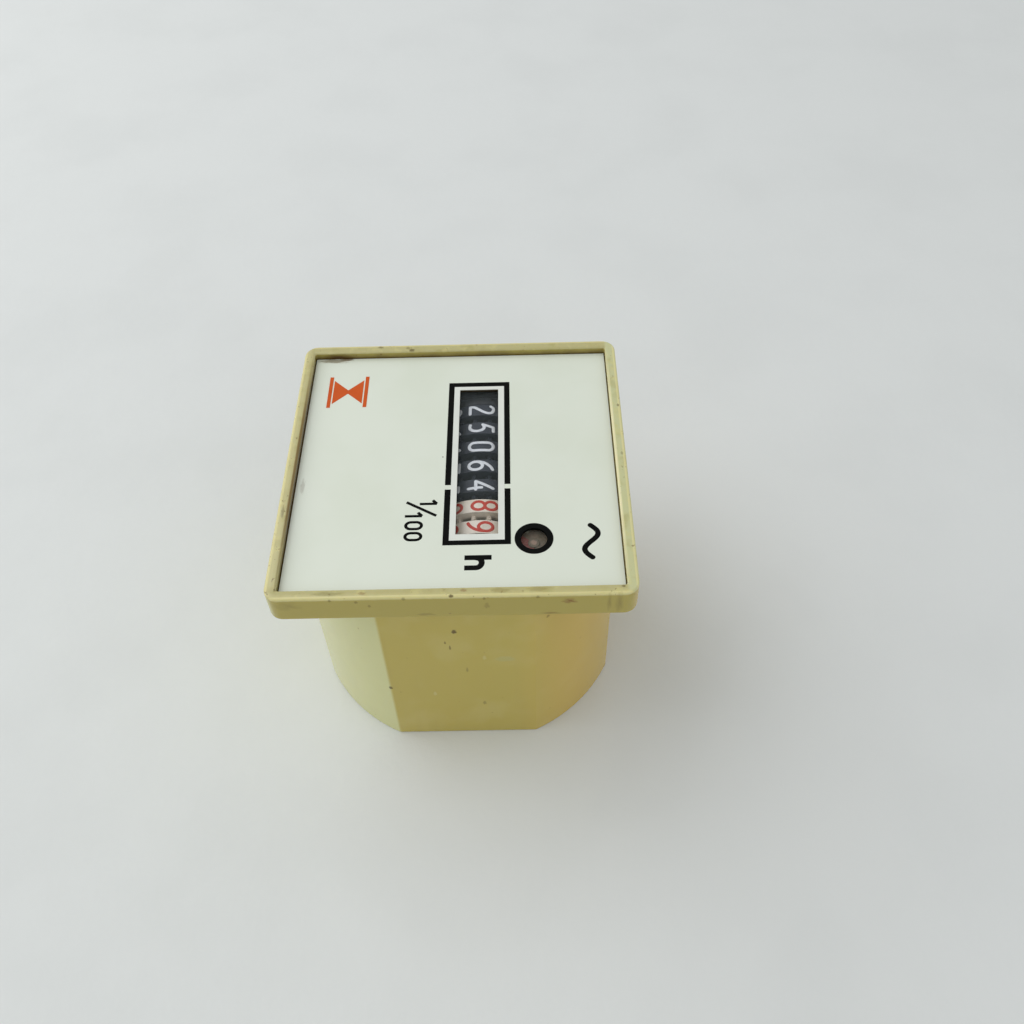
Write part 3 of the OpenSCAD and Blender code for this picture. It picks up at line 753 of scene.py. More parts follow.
def start(
    name: str, operator: Callable[..., Any], stretch: Place = (1.0, 1.0, 1.0), **settings: Any
) -> Piece:
    """Adds a primitive with its place and size in its mesh.

    Args:
        name: the piece's name.
        operator: the operator that adds the primitive.
        stretch: its stretch along each axis.
        settings: the operator's own settings, lengths in metres.

    Returns:
        The new object.
    """
    bpy.ops.object.select_all(action="DESELECT")
    operator(**settings)
    piece = bpy.context.object
    piece.name = piece.data.name = name
    piece.scale = stretch
    bpy.ops.object.transform_apply(location=True, rotation=True, scale=True)
    return piece


def block(name: str, low: Place, high: Place) -> Piece:
    """Adds a box between two corners.

    Args:
        name: the piece's name.
        low: its lowest corner.
        high: its highest corner.

    Returns:
        The new object.
    """
    middle = tuple((a + b) / 2 * MM for a, b in zip(low, high))
    size = tuple(b - a for a, b in zip(low, high))
    return start(name, bpy.ops.mesh.primitive_cube_add, size, size=MM, location=middle)


def rod(name: str, radius: float, at: Point, low: float, high: float, sides: int) -> Piece:
    """Adds an upright cylinder.

    Args:
        name: the piece's name.
        radius: its radius.
        at: the place of its axis.
        low: height of its lower end.
        high: height of its upper end.
        sides: how many flat sides make it round.

    Returns:
        The new object.
    """
    return start(
        name,
        bpy.ops.mesh.primitive_cylinder_add,
        vertices=sides,
        radius=radius * MM,
        depth=(high - low) * MM,
        location=metres((*at, (low + high) / 2)),
    )


def disc(name: str, radius: float, at: Place, sides: int) -> Piece:
    """Adds a flat round face.

    Args:
        name: the piece's name.
        radius: its radius.
        at: its middle.
        sides: how many straight sides make it round.

    Returns:
        The new object.
    """
    return start(
        name,
        bpy.ops.mesh.primitive_circle_add,
        vertices=sides,
        radius=radius * MM,
        fill_type="NGON",
        location=metres(at),
    )


def shape(
    piece: Piece, part: Part, test: Test, operator: Callable[..., Any], **settings: Any
) -> None:
    """Picks parts of a mesh by place and direction, and runs an edit operator on them.

    Args:
        piece: the object to shape.
        part: whether vertices, edges or faces are picked.
        test: takes a place in millimetres and a direction, and says whether to pick.
        operator: the edit-mode operator.
        settings: the operator's own settings, lengths in metres.
    """
    only(piece)
    mesh = piece.data
    for group in (mesh.vertices, mesh.edges, mesh.polygons):
        group.foreach_set("select", [False] * len(group))
    if part is Part.FACES:
        for face in mesh.polygons:
            face.select = test(face.center / MM, face.normal)
    elif part is Part.EDGES:
        for edge in mesh.edges:
            a, b = (mesh.vertices[i].co for i in edge.vertices)
            edge.select = test((a + b) / 2 / MM, (b - a).normalized())
    else:
        for vert in mesh.vertices:
            vert.select = test(vert.co / MM, vert.normal)
    bpy.context.tool_settings.mesh_select_mode = tuple(part.value == i for i in range(3))
    bpy.ops.object.mode_set(mode="EDIT")
    operator(**settings)
    bpy.ops.object.mode_set(mode="OBJECT")


def everything(_place: Vector, _direction: Vector) -> bool:
    """Picks every part."""
    return True


def upright(_place: Vector, direction: Vector) -> bool:
    """Picks the edges that stand along the axis."""
    return abs(direction.z) > 0.9


def split(piece: Piece, at: Place, towards: Place, **settings: Any) -> None:
    """Cuts all faces along a plane.

    Args:
        piece: the object to cut.
        at: a place on the plane.
        towards: the plane's normal.
        settings: what else the operator does, such as closing the cut.
    """
    shape(
        piece, Part.FACES, everything, bpy.ops.mesh.bisect,
        plane_co=metres(at), plane_no=towards, **settings,
    )


def remove_faces(piece: Piece, test: Test) -> None:
    """Removes the faces that a test picks."""
    shape(piece, Part.FACES, test, bpy.ops.mesh.delete, type="FACE")


def round_edges(piece: Piece, test: Test, radius: float, segments: int) -> None:
    """Rounds the edges that a test picks.

    Args:
        piece: the object to shape.
        test: takes a place and a direction, and says whether an edge is picked.
        radius: how far the rounding reaches.
        segments: faces across the rounding.
    """
    shape(
        piece, Part.EDGES, test, bpy.ops.mesh.bevel,
        offset=radius * MM, segments=segments, affect="EDGES",
    )


def barrel(
    name: str, radius: float, flat: float, low: float, high: float, rounded: bool
) -> Piece:
    """Models a cylinder with four flats.

    Args:
        name: the piece's name.
        radius: radius of the round sides.
        flat: distance of the flats from the axis.
        low: height of its rear end.
        high: height of its front end.
        rounded: whether the rear edge and the edges of the flats are rounded.

    Returns:
        The solid.
    """
    piece = rod(name, radius, (0.0, 0.0), low, high, sides=240)
    for side in (-1.0, 1.0):
        for towards in ((side, 0.0, 0.0), (0.0, side, 0.0)):
            at = tuple(flat * c for c in towards)
            split(piece, at, towards, use_fill=True, clear_outer=True)
    if rounded:
        reach = math.sqrt(radius * radius - flat * flat)
        corner = lambda p, d: upright(p, d) and abs(min(abs(p.x), abs(p.y)) - reach) < 0.02
        round_edges(piece, corner, radius=0.15, segments=3)
        round_edges(piece, lambda p, _d: p.z < low + CLOSE, radius=0.3, segments=4)
    return piece


def finish_modifier(piece: Piece, kind: str, **settings: Any) -> None:
    """Adds a modifier and applies it.

    Args:
        piece: the object to change.
        kind: Blender's name for the kind of modifier.
        settings: the modifier's own settings.
    """
    modifier = piece.modifiers.new(kind.lower(), kind)
    for name, value in settings.items():
        setattr(modifier, name, value)
    only(piece)
    bpy.ops.object.modifier_apply(modifier=modifier.name)


def combine(piece: Piece, way: Combine, *others: Piece) -> None:
    """Adds other solids to a piece or cuts them out, and removes them.

    Args:
        piece: the object to change.
        way: whether the others are added or cut out.
        others: the other solids, in order.
    """
    for other in others:
        finish_modifier(piece, "BOOLEAN", object=other, operation=way.value, solver="EXACT")
        bpy.data.objects.remove(other)


def soften(piece: Piece, width: float, angle: float = 35.0) -> None:
    """Rounds every sharp edge a little and shades the piece smooth.

    Args:
        piece: the object to finish.
        width: how far the rounding reaches.
        angle: the least angle of an edge that is rounded, in degrees.
    """
    finish_modifier(
        piece,
        "BEVEL",
        width=width * MM,
        segments=2,
        limit_method="ANGLE",
        angle_limit=math.radians(angle),
        miter_outer="MITER_ARC",
    )
    smooth(piece)


def smooth(piece: Piece) -> None:
    """Shades a piece smooth, with its broad faces kept flat.

    Args:
        piece: the object to shade.
    """
    only(piece)
    bpy.ops.object.shade_smooth_by_angle(angle=math.radians(40))
    finish_modifier(piece, "WEIGHTED_NORMAL", keep_sharp=True, weight=80)


def twin(piece: Piece) -> Piece:
    """Copies a piece with a mesh of its own.

    Args:
        piece: the object to copy.

    Returns:
        The copy.
    """
    copy = piece.copy()
    copy.data = piece.data.copy()
    bpy.context.scene.collection.objects.link(copy)
    return copy


def fasten(piece: Piece, finish: Finish, body: str, slot: str, *nodes: str) -> None:
    """Dresses a finished piece and fixes it to the body that carries it.

    Args:
        piece: the finished object.
        finish: its material.
        body: the body that it moves with.
        slot: the record's material slot; not used.
        nodes: the frame's nodes that it stands for.
    """
    piece.data.materials.clear()
    piece.data.materials.append(finish.material())
    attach(piece, body)
    if nodes:
        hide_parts(*nodes)
    LOG.info("%s: %d faces on %s", piece.name, len(piece.data.polygons), body)


def dress(nodes: Sequence[str], finish: Finish) -> None:
    """Gives nodes of the frame a better material.

    Args:
        nodes: the nodes' names.
        finish: their material.
    """
    for name in nodes:
        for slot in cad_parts[name].material_slots:
            slot.material = finish.material()
        LOG.info("%s: %s", name, finish.name)


# ---------------------------------------------------------------- pen strokes

# Cell of a numeral, longest step along a drawn line, steps of a smooth line from one point to
# the next, and where a round end has its points
NUMERAL_W = 1.5
NUMERAL_H = 3.5
LINE_STEP = 0.16
FLOW_STEPS = 8
CAP_POINTS = (0.35, 0.65, 0.86, 0.97)


@dataclass(frozen=True)
class Stroke:
    """One smooth line of a numeral or sign."""

    points: tuple[Point, ...]
    closed: bool = False

    def moved(self, scale: Point, shift: Point) -> "Stroke":
        """Gives the stroke stretched and moved.

        Args:
            scale: the stretch along each axis.
            shift: how far it moves along each axis.

        Returns:
            The new stroke.
        """
        return Stroke(
            tuple((x * scale[0] + shift[0], y * scale[1] + shift[1]) for x, y in self.points),
            self.closed,
        )

    def resampled(self, step: float) -> list[Point]:
        """Gives points no further apart than a step.

        Args:
            step: the largest distance between points.

        Returns:
            The points along the stroke.
        """
        ends = list(self.points) + ([self.points[0]] if self.closed else [])
        out: list[Point] = [ends[0]]
        for (ax, ay), (bx, by) in zip(ends, ends[1:]):
            count = max(1, math.ceil(math.hypot(bx - ax, by - ay) / step))
            out += [
                (ax + (bx - ax) * i / count, ay + (by - ay) * i / count)
                for i in range(1, count + 1)
            ]
        return out[:-1] if self.closed else out


def arc(
    middle: Point, radii: Point, begin: float, end: float, steps: int = 24
) -> tuple[Point, ...]:
    """Gives points along an arc.

    Args:
        middle: the arc's centre.
        radii: its radii along each axis.
        begin: its first angle in degrees.
        end: its last angle in degrees.
        steps: how many straight steps make it round.

    Returns:
        The points.
    """
    angles = [math.radians(begin + (end - begin) * i / steps) for i in range(steps + 1)]
    return tuple(
        (middle[0] + radii[0] * math.cos(a), middle[1] + radii[1] * math.sin(a)) for a in angles
    )


def loop(middle: Point, radii: Point) -> Stroke:
    """Gives a closed oval stroke."""
    return Stroke(arc(middle, radii, 90, 450, 40)[:-1], True)


def flow(*points: Point) -> Stroke:
    """Gives a smooth stroke through points.

    Args:
        points: where the stroke passes.

    Returns:
        The stroke, rounded between the points.
    """
    line = [points[0], *points, points[-1]]
    out: list[Point] = []
    for a, b, c, d in zip(line, line[1:], line[2:], line[3:]):
        for i in range(FLOW_STEPS):
            t = i / FLOW_STEPS
            weights = (
                (-t + 2 * t**2 - t**3) / 2, (2 - 5 * t**2 + 3 * t**3) / 2,
                (t + 4 * t**2 - 3 * t**3) / 2, (t**3 - t**2) / 2,
            )
            out.append(
                tuple(sum(w * p[k] for w, p in zip(weights, (a, b, c, d))) for k in (0, 1))
            )
    return Stroke((*out, points[-1]))


def numeral_strokes() -> list[list[Stroke]]:
    """Gives the strokes of the ten numerals in a cell of NUMERAL_W by NUMERAL_H.

    Returns:
        For each numeral from 0 to 9, its strokes.
    """
    w, h, r = NUMERAL_W, NUMERAL_H, NUMERAL_W / 2
    nought = Stroke(
        arc((r, h - r), (r, r), 0, 180) + arc((r, r), (r, r), 180, 360), True
    )
    two = flow(
        (0.0, 3.12), (0.28, 3.45), (0.74, h), (1.24, 3.28), (1.4, 2.75), (1.18, 2.05), (0.56, 1.2),
        (0.13, 0.6), (0.05, 0.0),
    )
    three = [
        Stroke(arc((0.66, h - 0.82), (0.7, 0.82), 158, -86)),
        Stroke(arc((0.66, 0.94), (0.82, 0.94), 86, -158)),
    ]
    five = [
        Stroke(((1.42, h), (0.62, h))),
        Stroke(((0.62, h), (0.08, 1.95))),
        flow(
            (0.08, 1.95), (0.58, 2.14), (1.1, 1.9), (1.36, 1.2), (1.2, 0.45), (0.72, 0.03),
            (0.08, 0.07),
        ),
    ]
    six = [
        flow((1.46, 3.42), (0.92, 3.1), (0.36, 2.44), (0.06, 1.7), (0.0, 1.0)),
        loop((r, 0.98), (r, 0.98)),
    ]
    nine = [s.moved((-1, -1), (w, h)) for s in six]
    return [
        [nought],
        [Stroke(((0.3, h - 0.72), (0.95, h))), Stroke(((0.95, h), (0.95, 0.0)))],
        [two, Stroke(((0.05, 0.0), (w, 0.0)))],
        three,
        [
            Stroke(((1.28, h), (0.0, 1.06))),
            Stroke(((0.0, 1.06), (w, 1.06))),
            Stroke(((1.16, 1.88), (1.28, 0.0))),
        ],
        five,
        six,
        [Stroke(((0.0, h), (w, h))), Stroke(((w, h), (0.5, 0.0)))],
        [loop((r, 0.89), (0.73, 0.89)), loop((r, h - 0.86), (0.71, 0.86))],
        nine,
    ]


def draw(
    name: str, strokes: Sequence[Stroke], width: float, height: float, round_ends: bool = True
) -> Piece:
    """Draws strokes as low ribs of ink that lie on the plane z = 0.

    Args:
        name: the piece's name.
        strokes: the lines to draw.
        width: the width of a line.
        height: the thickness of the ink.
        round_ends: whether the lines end in half circles.

    Returns:
        The ribs as one mesh object.
    """
    curve = bpy.data.curves.new(name, "CURVE")
    curve.dimensions = "3D"
    curve.fill_mode = "FULL"
    curve.bevel_depth = width / 2 * MM
    curve.bevel_resolution = 2
    curve.use_fill_caps = True
    for stroke in strokes:
        line = [(x, y, 1.0) for x, y in stroke.resampled(LINE_STEP)]
        if round_ends and not stroke.closed:
            for _end in range(2):
                line = _cap(line[::-1], width / 2)
        spline = curve.splines.new("POLY")
        spline.points.add(len(line) - 1)
        for point, (x, y, radius) in zip(spline.points, line):
            point.co = (x * MM, y * MM, 0.0, 1.0)
            point.radius = radius
        spline.use_cyclic_u = stroke.closed
    piece = bpy.data.objects.new(name, curve)
    bpy.context.scene.collection.objects.link(piece)
    only(piece)
    bpy.ops.object.convert(target="MESH")
    piece = bpy.context.object
    piece.data.transform(Matrix.Scale(height / width, 4, (0, 0, 1)))
    smooth(piece)
    return piece


def _cap(line: list[Place], reach: float) -> list[Place]:
    """Adds a half circle to the end of a line.

    Args:
        line: the line's points, each with its share of the full radius.
        reach: the radius of the half circle.

    Returns:
        The longer line.
    """
    (ax, ay, _), (bx, by, _) = line[-2:]
    length = math.hypot(bx - ax, by - ay)
    ux, uy = (bx - ax) / length, (by - ay) / length
    return line + [
        (bx + ux * reach * t, by + uy * reach * t, math.sqrt(1 - t * t))
        for t in CAP_POINTS
    ]


# ---------------------------------------------------------------- sub-assemblies

@dataclass
class HousingShell:
    """Square bezel and round body with flats, moulded in one."""

    bezel: float = 48.0
    bezel_low: float = 34.9
    top: float = 39.3
    corner: float = 2.0
    front_edge: float = 0.3
    back_edge: float = 0.2
    rim_slope: float = 0.22
    slope_over: float = 0.5
    seat: float = 37.7
    recess: float = 44.9
    recess_corner: float = 0.3
    body_r: float = 24.7
    body_flat: float = 22.3
    body_high: float = 36.0
    inner_r: float = 23.1
    inner_flat: float = 20.7
    front_wall: float = 36.8
    pane: float = 37.2
    opening: Rect = (-16.18, -0.005, 14.42, 6.145)
    ledge: float = 0.5
    lens_r: float = 3.65
    disc_r: float = 3.15
    boss_r: float = 2.4
    boss_span: Point = (2.4, 11.4)
    hole_r: float = 0.8
    hole_span: Point = (1.4, 10.4)
    below: float = -1.0
    behind_wall: float = 35.0
    above: float = 42.0

    def build(self) -> None:
        """Models the shell and puts it in the housing's place."""
        shell = self._bezel()
        body = barrel("barrel", self.body_r, self.body_flat, 0.0, self.body_high, True)
        combine(shell, Combine.ADD, body)
        hollow = barrel(
            "hollow", self.inner_r, self.inner_flat, self.below, self.front_wall, False
        )
        combine(shell, Combine.CUT, hollow)
        for side in (-1, 1):
            spot = (side * SCREW_AT, -side * SCREW_AT)
            combine(shell, Combine.ADD, rod("boss", self.boss_r, spot, *self.boss_span, sides=48))
            combine(shell, Combine.CUT, rod("hole", self.hole_r, spot, *self.hole_span, sides=24))
        self._front(shell)
        soften(shell, width=0.1, angle=50.0)
        fasten(shell, CREAM, "case", "cream_plastic", "housing")

    def _bezel(self) -> Piece:
        """Models the square front with round corners and edges.

        Returns:
            The solid square.
        """
        half = self.bezel / 2
        slab = block("housing_shell", (-half, -half, self.bezel_low), (half, half, self.top))
        round_edges(slab, upright, self.corner, segments=14)
        round_edges(slab, lambda p, _d: p.z > self.top - CLOSE, self.front_edge, segments=5)
        round_edges(slab, lambda p, _d: p.z < self.bezel_low + CLOSE, self.back_edge, segments=3)
        return slab

    def _front(self, shell: Piece) -> None:
        """Cuts the dial's recess, the window and the indicator's opening.

        Args:
            shell: the case.
        """
        half = self.recess / 2
        tray = block("tray", (-half, -half, self.seat), (half, half, self.above))
        round_edges(tray, upright, self.recess_corner, segments=4)
        low, rise = self.top - self.rim_slope, self.rim_slope + self.slope_over
        slope = block("slope", (-half, -half, low), (half, half, low + rise))
        wider = 1 + rise / half
        shape(
            slope, Part.VERTS, lambda p, _n: p.z > self.top, bpy.ops.transform.resize,
            value=(wider, wider, 1), center_override=(0, 0, 0),
        )
        x0, y0, x1, y1 = self.opening
        e, low, high = self.ledge, self.behind_wall, self.above
        combine(
            shell,
            Combine.CUT,
            tray,
            slope,
            block("rebate", (x0 - e, y0 - e, self.pane), (x1 + e, y1 + e, high)),
            block("opening", (x0, y0, low), (x1, y1, high)),
            rod("lens_seat", self.lens_r, INDICATOR_AT, self.pane, high, sides=64),
            rod("disc_hole", self.disc_r, INDICATOR_AT, low, high, sides=64),
        )


@dataclass
class DialPrint:
    """Printed sheet of the dial: frame round the window, ring, unit and signs."""

    ink: float = 0.03
    frame_out: Rect = (-16.32, -1.48, 14.82, 7.64)
    frame_in: Rect = (-15.45, -0.64, 14.05, 6.82)
    gap: Point = (4.22, 5.06)
    window: Rect = (-14.78, 0.195, 13.02, 5.945)
    ring_out: float = 2.59
    ring_in: float = 1.79
    lining: float = 0.37
    step_line: float = 0.44
    flag: Point = (0.62, 0.58)
    nought_r: Point = (0.59, 0.72)
    nought_y: Point = (-5.14, -5.82)
    unit_line: float = 0.8
    wave_line: float = 0.75
    wave_from: Point = (11.87, 18.33)
    wave_size: Point = (5.4, 0.95)
    glass: Rect = (-17.4, -19.05, -12.4, -14.55)
    waist: float = 0.14
    bar_x: Point = (-18.2, -11.6)
    bar_y: Point = (-19.8, -14.35)
    bar_width: float = 0.55

    def build(self) -> None:
        """Models the fields of ink and dresses the sheet."""
        dress(("dial_plate",), DIAL_SHEET)
        dress(("window_pane", "indicator_lens"), ACRYLIC)
        x0, x1 = self.gap
        _, low, _, high = self.frame_out
        gap = (x0, low - 1, x1, high + 1)
        self._lay(self._field("window_frame", self.frame_out, self.frame_in, gap), INK_BLACK)
        self._lay(self._field("window_border", self.frame_in, self.window), INK_WHITE)
        self._lay(self._ring(), INK_BLACK)
        self._signs()
        self._hourglass()

    def _lay(self, piece: Piece, finish: Finish) -> None:
        """Gives a flat field the thickness of ink and fixes it to the dial."""
        finish_modifier(piece, "SOLIDIFY", thickness=self.ink * MM, offset=1.0)
        fasten(piece, finish, "case", "white_dial")

    def _field(self, name: str, outer: Rect, *parts: Rect) -> Piece:
        """Lays a rectangle of ink with rectangular parts left open.

        Args:
            name: the piece's name.
            outer: the rectangle's edges.
            parts: the edges of each part that stays open.

        Returns:
            The flat field.
        """
        x0, y0, x1, y1 = outer
        piece = start(
            name,
            bpy.ops.mesh.primitive_plane_add,
            (x1 - x0, y1 - y0, 1.0),
            size=MM,
            location=metres(((x0 + x1) / 2, (y0 + y1) / 2, DIAL_FACE)),
        )
        for a0, b0, a1, b1 in parts:
            for x in (a0, a1):
                split(piece, (x, 0.0, DIAL_FACE), (1.0, 0.0, 0.0))
            for y in (b0, b1):
                split(piece, (0.0, y, DIAL_FACE), (0.0, 1.0, 0.0))
            remove_faces(piece, lambda p, _n: a0 < p.x < a1 and b0 < p.y < b1)
        return piece

    def _ring(self) -> Piece:
        """Models the ring round the running indicator, with its lining in the hole.

        Returns:
            The flat ring with its lining.
        """
        at = (*INDICATOR_AT, DIAL_FACE)
        middle = Vector(at)
        piece = disc("indicator_ring", self.ring_out, at, sides=96)
        width = (self.ring_out - self.ring_in) * MM
        shape(piece, Part.FACES, everything, bpy.ops.mesh.inset, thickness=width)
        remove_faces(piece, lambda p, _n: (p - middle).length < 0.5)
        inner = lambda p, d: (
            abs((p - middle).normalized().dot(d)) < 0.1
            and (p - middle).length < self.ring_in + 0.05
        )
        shape(
            piece, Part.EDGES, inner, bpy.ops.mesh.extrude_region_move,
            TRANSFORM_OT_translate={"value": (0.0, 0.0, -self.lining * MM)},
        )
        return piece

    def _signs(self) -> None:
        """Draws the unit, the smallest step and the sign for alternating current."""
        fraction = [
            *self._one(7.56, -4.82, -2.47),
            Stroke(((7.22, -6.64), (9.69, -2.48))),
            *self._one(9.7, -6.76, -4.41),
            self._nought(11.35),
            self._nought(13.23),
        ]
        unit = [
            Stroke(((16.95, 1.51), (16.95, 5.08))),
            Stroke(((16.95, 2.84),) + arc((17.78, 2.99), (0.83, 0.8), 145, 0) + ((18.61, 1.51),)),
        ]
        (x, y), (length, height) = self.wave_from, self.wave_size
        steps = [i / 36 for i in range(37)]
        wave = Stroke(
            tuple((x + length * t, y + height * math.sin(2 * math.pi * t)) for t in steps)
        )
        for name, strokes, width, ends in (
            ("smallest_step", fraction, self.step_line, False),
            ("unit_hours", unit, self.unit_line, False),
            ("supply_wave", [wave], self.wave_line, True),
        ):
            piece = draw(name, strokes, width, 2 * self.ink, ends)
            piece.data.transform(Matrix.Translation((0, 0, DIAL_FACE * MM)))
            fasten(piece, INK_BLACK, "case", "white_dial")

    def _one(self, x: float, low: float, high: float) -> list[Stroke]:
        """Gives the strokes of a numeral one between two heights."""
        tip = (x - self.flag[0], high - self.flag[1])
        return [Stroke((tip, (x, high))), Stroke(((x, high), (x, low)))]

    def _nought(self, x: float) -> Stroke:
        """Gives the stroke of a small nought about a place along the sign."""
        upper, lower = ((x, y) for y in self.nought_y)
        return Stroke(arc(upper, self.nought_r, 0, 180) + arc(lower, self.nought_r, 180, 360), True)

    def _hourglass(self) -> None:
        """Models a plain hourglass between two bars."""
        x0, y0, x1, y1 = self.glass
        middle = ((x0 + x1) / 2, (y0 + y1) / 2, DIAL_FACE)
        glass = self._field("hourglass", self.glass)
        split(glass, middle, (0, 1, 0))
        shape(
            glass, Part.VERTS, lambda p, _n: abs(p.y - middle[1]) < 0.1,
            bpy.ops.transform.resize, value=(self.waist, 1, 1), center_override=metres(middle),
        )
        self._lay(glass, INK_ORANGE)
        low, high = self.bar_x
        for name, y in zip(("hourglass_foot", "hourglass_head"), self.bar_y):
            self._lay(self._field(name, (low, y, high, y + self.bar_width)), INK_ORANGE)


@dataclass
class NumberDrums:
    """Seven drums with stamped numerals."""

    radius: float = 8.0
    axis: Point = (3.4, 28.8)
    middle: float = -0.55
    pitch: float = 3.75
    step: float = 36.0
    line: float = 0.47
    ink: float = 0.05
    lift: float = 0.03
    height: float = 3.52
    reading: tuple[int, ...] = (2, 5, 0, 6, 4, 8, 9)
    turned: tuple[float, ...] = (0.0, 0.0, 0.0, 0.0, 0.0, 4.3, 0.0)
    black: tuple[str, ...] = ("drum_10000", "drum_1000", "drum_100", "drum_10", "drum_1")
    white: tuple[str, ...] = ("drum_tenths", "drum_hundredths")

    def build(self) -> None:
        """Stamps a band of numerals on every drum and dresses the drums."""
        dress(self.black, DRUM_BLACK)
        dress(self.white, DRUM_WHITE)
        band = self._band()
        for index, name in enumerate(self.black + self.white):
            piece = twin(band)
            piece.name = piece.data.name = name.replace("drum", "numerals")
            self._wrap(piece, index)
            if name in self.black:
                fasten(piece, STAMP_WHITE, name, "black_drum")
            else:
                fasten(piece, STAMP_RED, name, "white_drum")
        bpy.data.objects.remove(band)

    def _band(self) -> Piece:
        """Draws the ten numerals one above the other, as far apart as on a drum.

        Returns:
            The flat band, with the nought at the origin and the others below it.
        """
        step = self.radius * math.radians(self.step)
        strokes = []
        for digit, lines in enumerate(numeral_strokes()):
            shift = (-NUMERAL_W / 2, -self.height / 2 + self.lift - digit * step)
            strokes += [s.moved((1, self.height / NUMERAL_H), shift) for s in lines]
        return draw("numeral_band", strokes, self.line, self.ink)

    def _wrap(self, piece: Piece, index: int) -> None:
        """Rolls a band onto a drum so that its numeral of the reading is on top.

        Args:
            piece: the band.
            index: the drum's place in the row, from 0 on the left.
        """
        x = self.middle + (index - len(self.reading) // 2) * self.pitch
        y, z = self.axis
        turn = 90 - self.step * self.reading[index] - self.turned[index]
        for vert in piece.data.vertices:
            u, v, rise = vert.co / MM
            angle = math.radians(turn) - v / self.radius
            reach = self.radius + rise
            vert.co = Vector(
                (x + u, y + reach * math.cos(angle), z + reach * math.sin(angle))
            ) * MM


@dataclass
class RunningIndicator:
    """Disc on the worm arbor that shows that the meter runs."""

    top: float = 37.0
    radius: float = 2.7
    inner: float = 0.7
    sector: Point = (-130.0, 0.0)
    paint: float = 0.04
    bar: Place = (1.9, 0.22, 0.1)
    bar_end: float = 0.2
    bar_turn: float = -35.0
    tip_r: float = 0.82
    tip_span: Point = (-0.02, 0.16)
    tip_edge: float = 0.15

    def build(self) -> None:
        """Models the red field, the bar and the arbor's tip."""
        dress(("indicator_disc",), INDICATOR)
        fasten(self._sector(), PAINT_RED, "worm", "indicator_plastic")
        fasten(self._bar(), INDICATOR, "worm", "indicator_plastic")
        fasten(self._tip(), TIP_BROWN, "worm", "gear_plastic")

    def _sector(self) -> Piece:
        """Models the red field as a part of a ring.

        Returns:
            The thin field.
        """
        x, y = INDICATOR_AT
        low, high = self.sector
        piece = disc("indicator_field", self.radius, (x, y, self.top), sides=72)
        width = (self.radius - self.inner) * MM
        shape(piece, Part.FACES, everything, bpy.ops.mesh.inset, thickness=width)
        remove_faces(piece, lambda p, _n: math.hypot(p.x - x, p.y - y) < 0.3)
        angle = lambda p: math.degrees(math.atan2(p.y - y, p.x - x))
        remove_faces(piece, lambda p, _n: not low < angle(p) < high)
        finish_modifier(piece, "SOLIDIFY", thickness=self.paint * MM, offset=1.0)
        return piece

    def _bar(self) -> Piece:
        """Models the raised bar across the disc.

        Returns:
            The bar, turned as in the photograph.
        """
        (x, y), z = INDICATOR_AT, self.top
        a, b, rise = self.bar
        piece = block("indicator_bar", (x - a, y - b, z), (x + a, y + b, z + rise))
        shape(
            piece, Part.FACES, everything, bpy.ops.transform.rotate, orient_axis="Z",
            value=math.radians(self.bar_turn), center_override=metres((x, y, z)),
        )
        round_edges(piece, upright, self.bar_end, segments=4)
        soften(piece, width=0.04)
        return piece

    def _tip(self) -> Piece:
        """Models the rounded end of the arbor in the disc's middle.

        Returns:
            The tip.
        """
        low, high = (self.top + end for end in self.tip_span)
        piece = rod("indicator_tip", self.tip_r, INDICATOR_AT, low, high, sides=48)
        round_edges(piece, lambda p, _d: p.z > high - CLOSE, self.tip_edge, segments=5)
        smooth(piece)
        return piece


